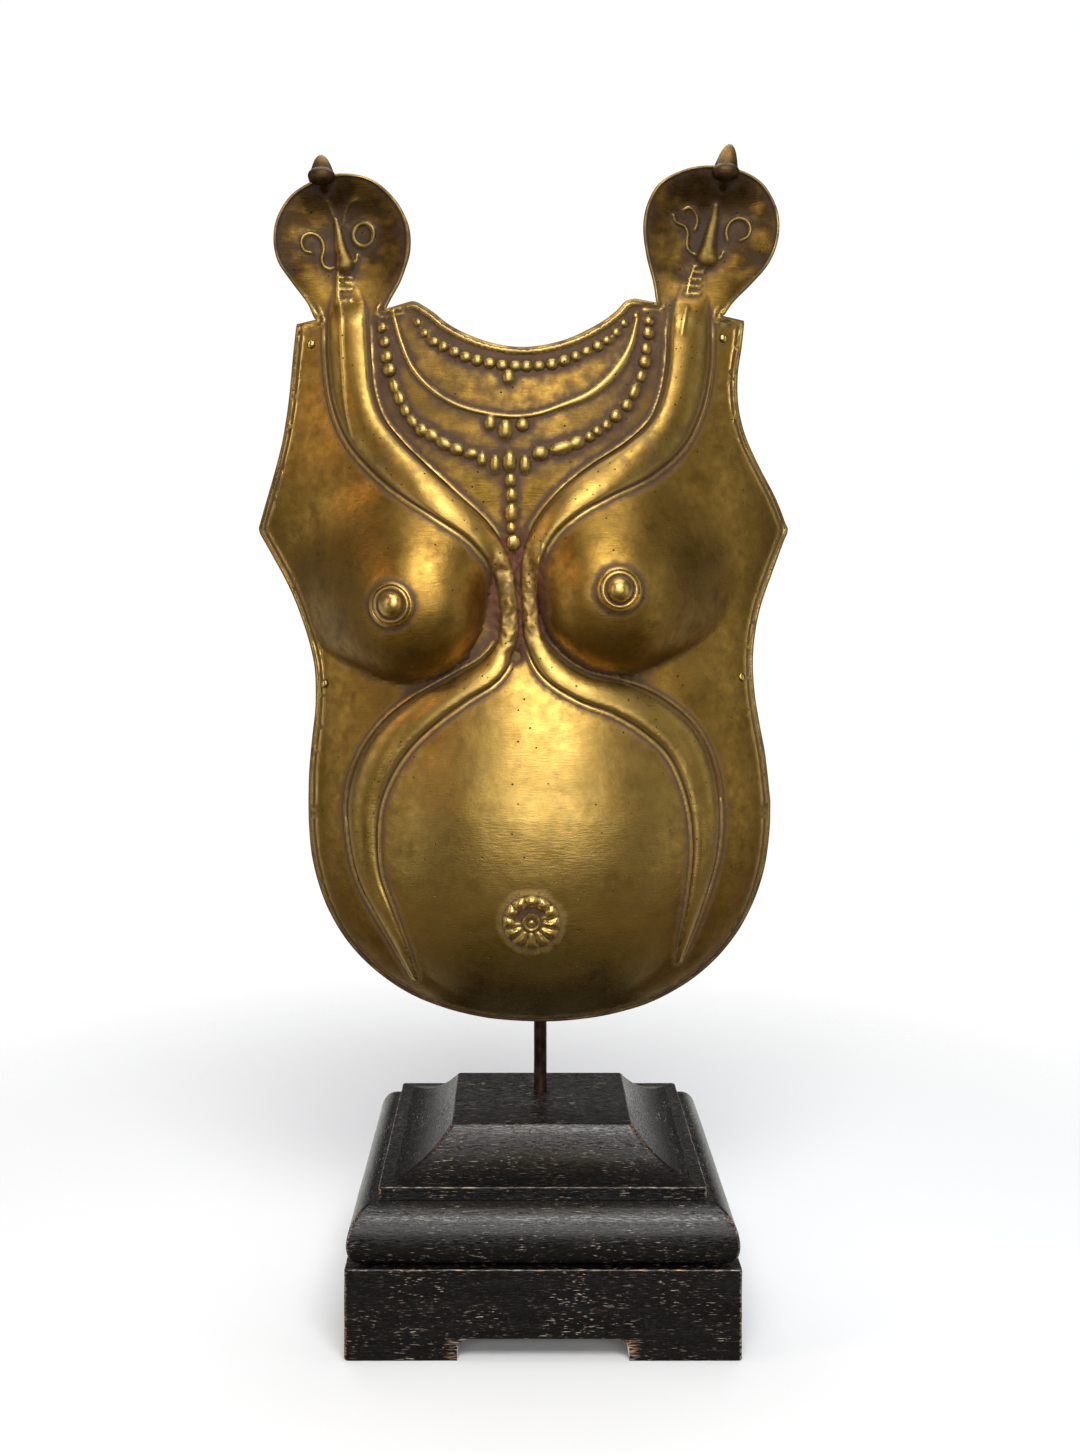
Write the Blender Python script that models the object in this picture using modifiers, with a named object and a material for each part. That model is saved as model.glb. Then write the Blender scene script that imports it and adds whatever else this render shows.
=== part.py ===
"""Ceremonial breastplate of cast brass, with two hooded cobras, on a wooden display stand.

Metres, +Z up. X runs to the viewer's right and Y away from the viewer. The origin is on the
floor, in the middle of the plate's width and of the pedestal's depth.
"""

import math

import bmesh
import bpy
import numpy as np
from mathutils import Matrix, Vector
from mathutils.bvhtree import BVHTree
from mathutils.geometry import delaunay_2d_cdt

# The plate
HALF_WIDTH = 0.177
TORSO_HEIGHT = 0.460
PLATE_DEPTH = 0.085
WALL = 0.0025
BREAST_RADIUS = 0.0505
BREAST_RISE = 0.044
BREAST_FLOW = 0.62
BREAST_BLUNT = 0.62
BREAST_SOFTEN = 1.05
BELLY_RISE = 0.026
NIPPLE_RADIUS = 0.0075
NIPPLE_RISE = 0.0082
AREOLA_RADIUS = 0.0134
RIM_BEAD_WIDTH = 0.0026
RIM_BEAD_RISE = 0.0012

# The cobras
SNAKE_RISE = 0.0070
HOOD_SETBACK = 0.013
HOOD_CUP = 0.011
HOOD_CURL = 0.016
HEAD_RADIUS = 0.0064
CREST_HEIGHT = 0.0212
CREST_RADIUS = 0.0075
CREST_POWER = 0.45
EYE_RADIUS = 0.0066
FACE_RISE = 0.0016

# The ornament
BEAD_RADIUS = 0.0036
WIRE_RADIUS = 0.0014
DROP_RADIUS = 0.0046
ROSETTE_RADIUS = 0.0175
ROSETTE_RISE = 0.0036
PETALS = 12
RIVET_HEAD_RADIUS = 0.0029
RIVET_HEAD_RISE = 0.0016
RIVET_SHANK_RADIUS = 0.0011
DRILL_REACH = 0.012

# The stand
PLINTH_WIDTH = 0.2312
PLINTH_DEPTH = 0.212
PLINTH_HEIGHT = 0.053
FOOT_ARCH_WIDTH = 0.100
FOOT_ARCH_HEIGHT = 0.013
FOOT_ARCH_ROUND = 0.007
EDGE_WEAR = 0.0008
MOULDING_HEIGHT = 0.0322
MOULDING_LEDGE = 0.0008
MOULDING_ROUND = 0.015
MOULDING_WIDEST = 0.36
MOULDING_TUCK = 0.008
TOP_INSET = 0.0181
TOP_FILLET_HEIGHT = 0.0074
COVE_HEIGHT = 0.0218
COVE_REACH = 0.0418
COVE_POWER = 2.4
ROD_RADIUS = 0.00425
ROD_SETBACK = 0.015
ROD_OFFSET = 0.0108
ROD_SHOWN = 0.052
SOCKET_DEPTH = 0.018
BAR_RADIUS = 0.0035
PAD_RADIUS = 0.007
PAD_THICKNESS = 0.003
GAP = 0.0003

# Mesh fineness
GRID = 0.0098
BACK_GRID = 0.0120
EDGE_STEP = 0.0090

PEDESTAL_TOP = PLINTH_HEIGHT + GAP + MOULDING_HEIGHT + GAP + TOP_FILLET_HEIGHT + COVE_HEIGHT
RIM_BOTTOM = PEDESTAL_TOP + ROD_SHOWN


def table(columns, rows):
    """Named columns of a short table of shares."""
    return {name: np.array(column) for name, column in zip(columns.split(), zip(*rows))}


# Across is a share of HALF_WIDTH from the middle, up a share of TORSO_HEIGHT from the lowest rim.
HIP_UP = 0.310
HIP_POWER = 2.38
BODY = table("up shift half edge front turn", [
    (0.310, 0.056, 0.858, 0.00, 0.67, 0.93),
    (0.375, 0.050, 0.850, 0.00, 0.64, 0.93),
    (0.460, 0.040, 0.835, -0.05, 0.58, 0.92),
    (0.525, 0.022, 0.845, -0.10, 0.52, 0.90),
    (0.611, 0.004, 0.900, -0.18, 0.50, 0.88),
    (0.700, -0.015, 0.960, -0.25, 0.53, 0.85),
    (0.765, -0.028, 0.955, -0.22, 0.56, 0.80),
    (0.830, -0.040, 0.910, -0.18, 0.54, 0.75),
    (0.895, -0.040, 0.880, -0.12, 0.49, 0.70),
    (0.960, -0.035, 0.870, -0.05, 0.42, 0.65),
    (1.040, -0.030, 0.870, 0.00, 0.36, 0.60),
])
# The lean of a breast is the side where it flows softly into the chest, in degrees from +X.
BREASTS = table("across up lean tip_across tip_up", [
    (-0.422, 0.592, 118.0, -0.456, 0.590),
    (0.335, 0.604, 62.0, 0.323, 0.610),
])
SOFT_FROM = -0.6
SOFT_TO = 0.9
BELLY = {"across": 0.052, "up": 0.240, "half": 0.600, "half_above": 0.290, "half_below": 0.220}

FLANK_LEFT = [(-0.794, 0.310), (-0.791, 0.353), (-0.780, 0.396), (-0.768, 0.450), (-0.773, 0.500),
              (-0.803, 0.545), (-0.844, 0.588), (-0.903, 0.631), (-1.004, 0.693)]
ARMHOLE_LEFT = [(-1.008, 0.700), (-0.966, 0.740), (-0.928, 0.782), (-0.898, 0.825),
                (-0.877, 0.867), (-0.860, 0.920), (-0.838, 0.986)]
ARMHOLE_RIGHT = [(0.813, 0.992), (0.802, 0.952), (0.789, 0.910), (0.797, 0.867), (0.830, 0.825),
                 (0.886, 0.783), (0.953, 0.741), (1.008, 0.700)]
FLANK_RIGHT = [(1.006, 0.693), (0.932, 0.631), (0.886, 0.588), (0.858, 0.545), (0.847, 0.502),
               (0.851, 0.460), (0.867, 0.417), (0.886, 0.374), (0.906, 0.310)]
HOOD_LEFT = [(-0.763, 0.990), (-0.788, 1.010), (-0.845, 1.040), (-0.891, 1.068), (-0.904, 1.096),
             (-0.895, 1.124), (-0.849, 1.156), (-0.755, 1.178), (-0.650, 1.186), (-0.548, 1.178),
             (-0.465, 1.151), (-0.420, 1.116), (-0.415, 1.082), (-0.446, 1.042), (-0.482, 1.016),
             (-0.503, 0.999)]
HOOD_RIGHT = [(0.480, 1.010), (0.470, 1.038), (0.443, 1.077), (0.431, 1.110), (0.443, 1.143),
              (0.483, 1.171), (0.570, 1.190), (0.677, 1.196), (0.778, 1.190), (0.860, 1.173),
              (0.910, 1.142), (0.918, 1.105), (0.880, 1.062), (0.824, 1.037), (0.772, 1.018),
              (0.727, 0.996)]
NECKLINE = [(-0.430, 1.006), (-0.400, 1.007), (-0.356, 0.998), (-0.270, 0.972), (-0.150, 0.950),
            (-0.011, 0.940), (0.130, 0.949), (0.255, 0.971), (0.340, 0.996), (0.372, 1.009),
            (0.400, 1.012)]

# A head's half width, half depth and half height, as shares of HEAD_RADIUS.
HEAD_STRETCH = (1.15, 1.0, 0.92)

# Each hood's middle line runs from its foot to its crown; a crest is a share of CREST_HEIGHT.
HOODS = table("foot crown head_across head_up crest eye_across eye_up nose_across nose_up", [
    (-0.640, -0.668, -0.729, 1.182, 0.776, -0.585, 1.108, -0.668, 1.100),
    (0.612, 0.690, 0.723, 1.187, 1.00, 0.779, 1.111, 0.682, 1.110),
])
HOOD_FOOT_UP = 1.000
HOOD_CROWN_UP = 1.150
HOOD_HALF = 0.240
HOOD_START = 0.985
HOOD_FULL = 1.060
HOOD_FLATTER = 0.8
CURL_START = 1.110
CURL_FULL = 1.205

SNAKES = [
    table("across up half", [
        (-0.660, 1.075, 0.030), (-0.655, 1.040, 0.045), (-0.646, 1.010, 0.075),
        (-0.644, 0.980, 0.086), (-0.638, 0.928, 0.090), (-0.621, 0.878, 0.088),
        (-0.576, 0.833, 0.084), (-0.492, 0.793, 0.080), (-0.401, 0.761, 0.075),
        (-0.277, 0.724, 0.062), (-0.158, 0.687, 0.050), (-0.085, 0.646, 0.042),
        (-0.056, 0.591, 0.038), (-0.058, 0.543, 0.040), (-0.110, 0.507, 0.052),
        (-0.232, 0.476, 0.057), (-0.350, 0.446, 0.066), (-0.458, 0.409, 0.073),
        (-0.531, 0.367, 0.074), (-0.571, 0.324, 0.070), (-0.576, 0.270, 0.060),
        (-0.554, 0.215, 0.050), (-0.503, 0.170, 0.040), (-0.446, 0.122, 0.025),
        (-0.395, 0.070, 0.008)]),
    table("across up half", [
        (0.640, 1.080, 0.030), (0.625, 1.045, 0.045), (0.612, 1.012, 0.072),
        (0.605, 0.980, 0.086), (0.598, 0.920, 0.090), (0.571, 0.870, 0.088),
        (0.520, 0.828, 0.084), (0.412, 0.789, 0.080), (0.271, 0.757, 0.070),
        (0.153, 0.726, 0.058), (0.073, 0.693, 0.047), (0.022, 0.646, 0.038),
        (0.022, 0.591, 0.034), (0.036, 0.543, 0.040), (0.086, 0.511, 0.052),
        (0.203, 0.480, 0.055), (0.339, 0.463, 0.064), (0.463, 0.437, 0.072),
        (0.565, 0.400, 0.074), (0.621, 0.352, 0.070), (0.644, 0.302, 0.062),
        (0.644, 0.252, 0.054), (0.621, 0.200, 0.042), (0.593, 0.154, 0.028),
        (0.556, 0.096, 0.008)]),
]
UPPER_STRING = [(-0.395, 0.985), (-0.345, 0.959), (-0.266, 0.939), (-0.181, 0.926),
                (-0.090, 0.917), (0.003, 0.915), (0.102, 0.919), (0.186, 0.930), (0.282, 0.950),
                (0.350, 0.972), (0.373, 0.985)]
UPPER_BEADS = 22
COLLAR_WIRE = [(-0.475, 0.996), (-0.441, 0.950), (-0.401, 0.915), (-0.328, 0.883),
               (-0.237, 0.861), (-0.141, 0.850), (-0.030, 0.845), (0.060, 0.850), (0.124, 0.859),
               (0.237, 0.878), (0.322, 0.907), (0.379, 0.943), (0.407, 0.985)]
LOWER_STRING = [(-0.512, 0.976), (-0.498, 0.935), (-0.466, 0.890), (-0.385, 0.834),
                (-0.290, 0.809), (-0.166, 0.792), (-0.055, 0.786), (0.056, 0.794),
                (0.151, 0.804), (0.265, 0.825), (0.350, 0.855), (0.415, 0.902), (0.438, 0.944),
                (0.448, 0.982)]
LOWER_BEADS = 34
DROPS = table("across up size", [
    (-0.120, 0.836, 0.80), (-0.066, 0.828, 1.15), (-0.006, 0.834, 0.85), (-0.057, 0.900, 0.95),
    (-0.051, 0.763, 0.70), (-0.040, 0.741, 0.65), (-0.045, 0.720, 0.75), (-0.045, 0.700, 0.60),
    (-0.040, 0.674, 1.00),
])
NAVEL = (0.024, 0.174)
RIVETS = {
    "shoulder_rivet_left": (-0.783, 0.957),
    "shoulder_rivet_right": (0.733, 0.966),
    "waist_rivet_left": (-0.732, 0.477),
    "waist_rivet_right": (0.800, 0.486),
}
BAR_UP = 0.500
BAR_HALF = 0.560
PADS = (-0.500, 0.560)


def place(across, up):
    """Shares to metres in the X and Z directions."""
    return np.asarray(across) * HALF_WIDTH, np.asarray(up) * TORSO_HEIGHT + RIM_BOTTOM


def eased(knots, values, at):
    """A smooth curve through a table's rows."""
    slope = np.gradient(values, knots)
    at = np.clip(at, knots[0], knots[-1])
    row = np.clip(np.searchsorted(knots, at) - 1, 0, len(knots) - 2)
    span = knots[row + 1] - knots[row]
    t = (at - knots[row]) / span
    start = (2 * t**3 - 3 * t**2 + 1) * values[row] + (t**3 - 2 * t**2 + t) * span * slope[row]
    end = (3 * t**2 - 2 * t**3) * values[row + 1] + (t**3 - t**2) * span * slope[row + 1]
    return start + end


def ramp(value, low, high):
    """Rises smoothly from 0 at low to 1 at high."""
    t = np.clip((value - low) / (high - low), 0.0, 1.0)
    return t * t * (3 - 2 * t)


def through(points, step):
    """Points about one step apart on a smooth curve through a few chosen ones."""
    points = np.array(points, dtype=float)
    chord = np.hypot(*np.diff(points, axis=0).T)
    knots = np.concatenate([[0.0], np.cumsum(chord)])
    count = max(2, round(knots[-1] / step))
    at = np.linspace(0.0, knots[-1], count + 1)
    return np.column_stack([eased(knots, column, at) for column in points.T])


def route(shares, step):
    """A smooth route in metres through points given as shares."""
    return through(np.column_stack(place(*np.array(shares, dtype=float).T)), step)


def nearest(x, z, path):
    """Distance to a path, and the share of its length where it is nearest."""
    best = np.full(np.shape(x), np.inf)
    along = np.zeros(np.shape(x))
    lengths = np.hypot(*np.diff(path, axis=0).T)
    before = np.concatenate([[0.0], np.cumsum(lengths)])
    for start, end, length, done in zip(path[:-1], path[1:], lengths, before):
        run = end - start
        t = ((x - start[0]) * run[0] + (z - start[1]) * run[1]) / length**2
        t = np.clip(t, 0.0, 1.0)
        distance = np.hypot(x - start[0] - t * run[0], z - start[1] - t * run[1])
        closer = distance < best
        best = np.where(closer, distance, best)
        along = np.where(closer, (done + t * length) / before[-1], along)
    return best, along


def dome(share):
    """A half-round profile: 1 in the middle, 0 at a share of 1 and beyond."""
    return np.sqrt(np.clip(1.0 - share**2, 0.0, 1.0))


def hip_close(up):
    """How much of the full width is left below the hips, on a slightly square ellipse."""
    below = np.clip((HIP_UP - up) / HIP_UP, 0.0, 0.9995)
    return (1.0 - below**HIP_POWER) ** (1.0 / HIP_POWER)


def body_depth(x, z):
    """How far the smooth torso stands forward of the rim's plane."""
    up = (z - RIM_BOTTOM) / TORSO_HEIGHT
    row = {name: eased(BODY["up"], BODY[name], up) for name in BODY}
    close = hip_close(up)
    side = np.clip((x / HALF_WIDTH - row["shift"]) / (row["half"] * close), -1.05, 1.05)
    turn = row["turn"]
    flat = np.sqrt(1.0 - turn**2)
    arch = (np.sqrt(np.clip(1.0 - (turn * side) ** 2, 0.0, 1.0)) - flat) / (1.0 - flat)
    return PLATE_DEPTH * (row["edge"] + (row["front"] - row["edge"]) * arch * close**1.15)


def softness(angle, lean):
    """1 on the side where a breast flows into the chest, 0 on its sharp side."""
    return ramp(np.cos(angle - math.radians(lean)), SOFT_FROM, SOFT_TO)


def breast_depth(x, z):
    """Two round breasts, sharp below and soft towards the shoulders."""
    total = np.zeros(np.shape(x))
    for across, up, lean in zip(BREASTS["across"], BREASTS["up"], BREASTS["lean"]):
        centre = place(across, up)
        away = np.hypot(x - centre[0], z - centre[1]) / BREAST_RADIUS
        soft = softness(np.arctan2(z - centre[1], x - centre[0]), lean)
        share = away / (1.0 + BREAST_FLOW * soft)
        power = BREAST_BLUNT + BREAST_SOFTEN * soft
        total = total + BREAST_RISE * np.clip(1.0 - share**2, 0.0, 1.0) ** power
    return total


def belly_depth(x, z):
    """The full belly between the cobras' tails."""
    centre = place(BELLY["across"], BELLY["up"])
    reach = TORSO_HEIGHT * np.where(z < centre[1], BELLY["half_below"], BELLY["half_above"])
    share = np.hypot((x - centre[0]) / (BELLY["half"] * HALF_WIDTH), (z - centre[1]) / reach)
    return BELLY_RISE * np.clip(1.0 - share**2, 0.0, 1.0) ** 1.1


def snake_paths(step):
    """Each cobra's middle line and half widths, in metres."""
    paths = []
    for rows in SNAKES:
        line = np.column_stack([*place(rows["across"], rows["up"]), rows["half"] * HALF_WIDTH])
        paths.append(through(line, step))
    return paths


def snake_depth(x, z):
    """The cobras' rounded bodies, which flatten out into the hoods."""
    up = (z - RIM_BOTTOM) / TORSO_HEIGHT
    flatter = 1.0 - HOOD_FLATTER * ramp(up, HOOD_START, HOOD_FULL)
    total = np.zeros(np.shape(x))
    for path in snake_paths(0.006):
        away, along = nearest(x, z, path[:, :2])
        half = np.interp(along, np.linspace(0.0, 1.0, len(path)), path[:, 2])
        rise = SNAKE_RISE * np.sqrt(half / (0.09 * HALF_WIDTH))
        total = np.maximum(total, rise * dome(away / half))
    return total * flatter


def bead_places():
    """Centre, radius and rise of each cast bead and drop."""
    places = []
    for string, count in ((UPPER_STRING, UPPER_BEADS), (LOWER_STRING, LOWER_BEADS)):
        line = route(string, 0.002)
        for share in (np.arange(count) + 0.5) / count:
            x, z = line[round(share * (len(line) - 1))]
            size = BEAD_RADIUS * (0.55 + 0.45 * math.sin(math.pi * share) ** 0.3)
            places.append((x, z, size))
    for across, up, size in zip(*DROPS.values()):
        places.append((*place(across, up), DROP_RADIUS * size))
    return places


def ornament_depth(x, z):
    """Beads, wire, nipples, rosette and the hoods' eyes and noses."""
    total = np.zeros(np.shape(x))
    for centre_x, centre_z, radius in bead_places():
        away = np.hypot(x - centre_x, z - centre_z)
        total = np.maximum(total, radius * dome(away / radius))
    away, _ = nearest(x, z, route(COLLAR_WIRE, 0.006))
    total = np.maximum(total, WIRE_RADIUS * 1.3 * dome(away / (2 * WIRE_RADIUS)))
    for across, up in zip(BREASTS["tip_across"], BREASTS["tip_up"]):
        centre = place(across, up)
        away = np.hypot(x - centre[0], z - centre[1])
        total = total + 0.25 * NIPPLE_RISE * dome(away / AREOLA_RADIUS)
        total = total + NIPPLE_RISE * dome(away / NIPPLE_RADIUS)
    centre = place(*NAVEL)
    away = np.hypot(x - centre[0], z - centre[1]) / ROSETTE_RADIUS
    petal = 0.8 + 0.2 * np.cos(PETALS * np.arctan2(z - centre[1], x - centre[0]))
    total = total + ROSETTE_RISE * (petal * dome((away - 0.68) / 0.34) + 0.7 * dome(away / 0.24))
    for across, up in zip(HOODS["eye_across"], HOODS["eye_up"]):
        centre = place(across, up)
        away = np.abs(np.hypot(x - centre[0], z - centre[1]) - 0.8 * EYE_RADIUS)
        total = total + FACE_RISE * dome(away / (0.45 * EYE_RADIUS))
    for across, up in zip(HOODS["nose_across"], HOODS["nose_up"]):
        centre = place(across, up)
        share = np.hypot((x - centre[0]) / (0.6 * EYE_RADIUS), (z - centre[1]) / (2 * EYE_RADIUS))
        total = total + 1.5 * FACE_RISE * dome(share)
    return total


def hood_depth(x, z):
    """The two spread hoods: cupped forward at the sides, and curling over at the top."""
    up = (z - RIM_BOTTOM) / TORSO_HEIGHT
    rise = (up - HOOD_FOOT_UP) / (HOOD_CROWN_UP - HOOD_FOOT_UP)
    foot = np.where(x < 0.0, *HOODS["foot"])
    middle = foot + rise * (np.where(x < 0.0, *HOODS["crown"]) - foot)
    side = np.clip((x / HALF_WIDTH - middle) / HOOD_HALF, -1.1, 1.1)
    curl = ramp(up, CURL_START, CURL_FULL) ** 1.5
    return HOOD_SETBACK + HOOD_CUP * side**2 * (1.0 - curl) + HOOD_CURL * curl


def smooth_depth(x, z):
    """The plate without its fine relief."""
    up = (z - RIM_BOTTOM) / TORSO_HEIGHT
    torso = body_depth(x, z) + breast_depth(x, z) + belly_depth(x, z)
    blend = ramp(up, HOOD_START, HOOD_FULL)
    return torso * (1.0 - blend) + hood_depth(x, z) * blend


def front_depth(x, z, edge):
    """The plate's front, from the outline's distance as well."""
    away, _ = nearest(x, z, edge)
    bead = RIM_BEAD_RISE * dome((away - 0.5 * RIM_BEAD_WIDTH) / RIM_BEAD_WIDTH)
    fade = ramp(away, 0.0, 0.005)
    return smooth_depth(x, z) + bead + fade * (snake_depth(x, z) + ornament_depth(x, z))


def back_depth(x, z, edge):
    """The plate's hollow back, one wall behind the front, measured square to the sheet."""
    tiny = 0.0005
    tilt = np.hypot(smooth_depth(x + tiny, z) - smooth_depth(x - tiny, z),
                    smooth_depth(x, z + tiny) - smooth_depth(x, z - tiny)) / (2 * tiny)
    away, _ = nearest(x, z, edge)
    follow = 0.7 * ramp(away, 0.0, 0.008)
    wall = WALL * np.minimum(np.sqrt(1.0 + tilt**2), 2.0)
    return smooth_depth(x, z) + follow * snake_depth(x, z) - wall


def outline(step):
    """The plate's closed outline, anticlockwise seen from the front, starting at the left hip."""
    half, shift = BODY["half"][0], BODY["shift"][0]
    turn = np.linspace(-math.pi, 0.0, 61)[1:-1]
    power = 2.0 / HIP_POWER
    hip = np.column_stack([
        shift + (half - 0.008) * np.sign(np.cos(turn)) * np.abs(np.cos(turn)) ** power,
        HIP_UP - HIP_UP * np.abs(np.sin(turn)) ** power])
    runs = [FLANK_LEFT[::-1], hip, FLANK_RIGHT[::-1], ARMHOLE_RIGHT[::-1], HOOD_RIGHT[::-1],
            NECKLINE[::-1], HOOD_LEFT[::-1], ARMHOLE_LEFT[::-1]]
    loop = np.concatenate([route(run, step) for run in runs])
    apart = np.hypot(*(loop - np.roll(loop, 1, axis=0)).T)
    return loop[apart > 0.3 * step]


def ring(centre, radius, step):
    """Points round a circle, about one step apart and no fewer than six."""
    count = max(6, round(2 * math.pi * radius / step))
    turn = np.arange(count) * 2 * math.pi / count
    return np.column_stack([centre[0] + radius * np.cos(turn), centre[1] + radius * np.sin(turn)])


def breast_rings(shares, step):
    """Rings of points round each breast, at shares of its reach."""
    rings = []
    for across, up, lean in zip(BREASTS["across"], BREASTS["up"], BREASTS["lean"]):
        centre = np.array(place(across, up))
        for share in shares:
            circle = ring((0.0, 0.0), share * BREAST_RADIUS, step)
            flow = 1.0 + BREAST_FLOW * softness(np.arctan2(circle[:, 1], circle[:, 0]), lean)
            rings.append(centre + circle * flow[:, None])
    return rings


def rows_along(path, halves, shares):
    """Rows of points beside a path, at shares of its half width."""
    heading = np.gradient(path, axis=0)
    heading = heading / np.hypot(*heading.T)[:, None]
    aside = np.column_stack([-heading[:, 1], heading[:, 0]])
    return [path + aside * (halves * share)[:, None] for share in shares]


def fine_points():
    """Points that hold the small relief: beads, nipples, rosette, eyes and noses."""
    points = []
    for x, z, radius in bead_places():
        points.append(np.array([(x, z)]))
        for share in (0.72, 1.05):
            points.append(ring((x, z), share * radius, GRID))
    for across, up in zip(BREASTS["tip_across"], BREASTS["tip_up"]):
        centre = place(across, up)
        points.append(np.array([centre]))
        for radius in (0.6 * NIPPLE_RADIUS, 0.92 * NIPPLE_RADIUS, 0.96 * AREOLA_RADIUS):
            points.append(ring(centre, radius, 0.5 * GRID))
    navel = place(*NAVEL)
    points.append(np.array([navel]))
    for share in (0.22, 0.36, 1.05):
        points.append(ring(navel, share * ROSETTE_RADIUS, 0.75 * GRID))
    for share in (0.68, 0.96):
        points.append(ring(navel, share * ROSETTE_RADIUS, math.pi * share * ROSETTE_RADIUS / PETALS))
    for across, up in zip(HOODS["eye_across"], HOODS["eye_up"]):
        for share in (0.45, 0.8, 1.2):
            points.append(ring(place(across, up), share * EYE_RADIUS, 0.55 * GRID))
    for across, up in zip(HOODS["nose_across"], HOODS["nose_up"]):
        nose = place(across, up)
        bridge = nose[1] + EYE_RADIUS * np.linspace(-2, 2, 4)
        points.append(np.column_stack([np.full(4, nose[0]), bridge]))
    return np.concatenate(points)


def large_points():
    """Points that hold the large relief: breasts, cobras, collar wire and rivet seats."""
    points = [ring(place(*spot), 2.0 * RIVET_HEAD_RADIUS, 0.6 * GRID) for spot in RIVETS.values()]
    points.extend(breast_rings((0.98, 1.06, 0.90, 0.78, 0.62, 0.46, 0.30), 0.85 * GRID))
    for path in snake_paths(0.9 * GRID):
        points.extend(rows_along(path[:, :2], path[:, 2], (0.0, -0.97, 0.97, -1.2, 1.2, -0.55, 0.55)))
    wire = route(COLLAR_WIRE, 0.9 * GRID)
    points.extend(rows_along(wire, np.full(len(wire), 2.1 * WIRE_RADIUS), (0.0, -1.0, 1.0)))
    return np.concatenate(points)


def hip_rows(loop, insets):
    """Rows inside the lower rim, where the belly turns back most steeply."""
    hip = loop[loop[:, 1] < place(0.0, HIP_UP)[1]]
    order = np.argsort(np.arctan2(hip[:, 0], place(0.0, HIP_UP)[1] - hip[:, 1]))
    hip = hip[order]
    return rows_along(hip, np.ones(len(hip)), insets)


def back_points():
    """Points that hold the hollow's creases, on the back."""
    points = breast_rings((0.99, 1.14, 0.86, 0.62, 0.35), 0.8 * BACK_GRID)
    for path in snake_paths(BACK_GRID):
        points.extend(rows_along(path[:, :2], path[:, 2], (-0.95, 0.0, 0.95)))
    return np.concatenate(points)


def inside(points, loop):
    """Which points lie within a closed loop."""
    x, z = points[:, 0], points[:, 1]
    odd = np.zeros(len(points), dtype=bool)
    for (ax, az), (bx, bz) in zip(loop, np.roll(loop, -1, axis=0)):
        crosses = (az > z) != (bz > z)
        rise = bz - az if bz != az else 1.0
        odd ^= crosses & (x < (bx - ax) * (z - az) / rise + ax)
    return odd


def thinned(points, kept, apart):
    """The points that lie at least a distance from those already kept, and from each other."""
    chosen = [tuple(point) for point in kept]
    cells = {}
    for point in chosen:
        cells.setdefault((int(point[0] // apart), int(point[1] // apart)), []).append(point)
    fresh = []
    for x, z in points:
        column, row = int(x // apart), int(z // apart)
        close = any(math.hypot(x - a, z - b) < apart
                    for i in (-1, 0, 1) for j in (-1, 0, 1)
                    for a, b in cells.get((column + i, row + j), ()))
        if not close:
            cells.setdefault((column, row), []).append((x, z))
            fresh.append((x, z))
    return np.array(fresh).reshape(-1, 2)


def honeycomb(loop, step):
    """An even triangular net of points over the outline's box."""
    low, high = loop.min(axis=0), loop.max(axis=0)
    points = []
    for row, z in enumerate(np.arange(low[1], high[1], step * math.sqrt(0.75))):
        shift = 0.5 * step * (row % 2)
        points.extend((x, z) for x in np.arange(low[0] + shift, high[0], step))
    return np.array(points)


def sheet(loop, groups, step, margin):
    """Triangles over the outline: relief points first, each group with its least distance apart,
    and an even net between them."""
    closed = np.vstack([loop, loop[:1]])
    points = loop
    for group, apart in [*groups, (honeycomb(loop, step), 0.68 * step)]:
        group = group[nearest(group[:, 0], group[:, 1], closed)[0] > margin]
        points = np.vstack([points, thinned(group[inside(group, loop)], points, apart)])
    flat = [Vector(point) for point in points.tolist()]
    found = delaunay_2d_cdt(flat, [], [list(range(len(loop)))], 1, 1e-7)
    return np.array([tuple(point) for point in found[0]]), found[2], found[3]


def finish(name, color, metallic, roughness):
    """A plain material of the part's own colour."""
    material = bpy.data.materials.new(name)
    material.use_nodes = True
    shader = material.node_tree.nodes["Principled BSDF"]
    shader.inputs["Base Color"].default_value = (*color, 1.0)
    shader.inputs["Metallic"].default_value = metallic
    shader.inputs["Roughness"].default_value = roughness
    return material


def new_object(name, bm, material, collection):
    """An object from a bmesh, with smooth shading up to 40 degrees."""
    bmesh.ops.recalc_face_normals(bm, faces=bm.faces)
    mesh = bpy.data.meshes.new(name)
    bm.to_mesh(mesh)
    bm.free()
    mesh.shade_smooth()
    mesh.set_sharp_from_angle(angle=math.radians(40.0))
    obj = bpy.data.objects.new(name, mesh)
    if material:
        mesh.materials.append(material)
    collection.objects.link(obj)
    return obj


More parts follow.
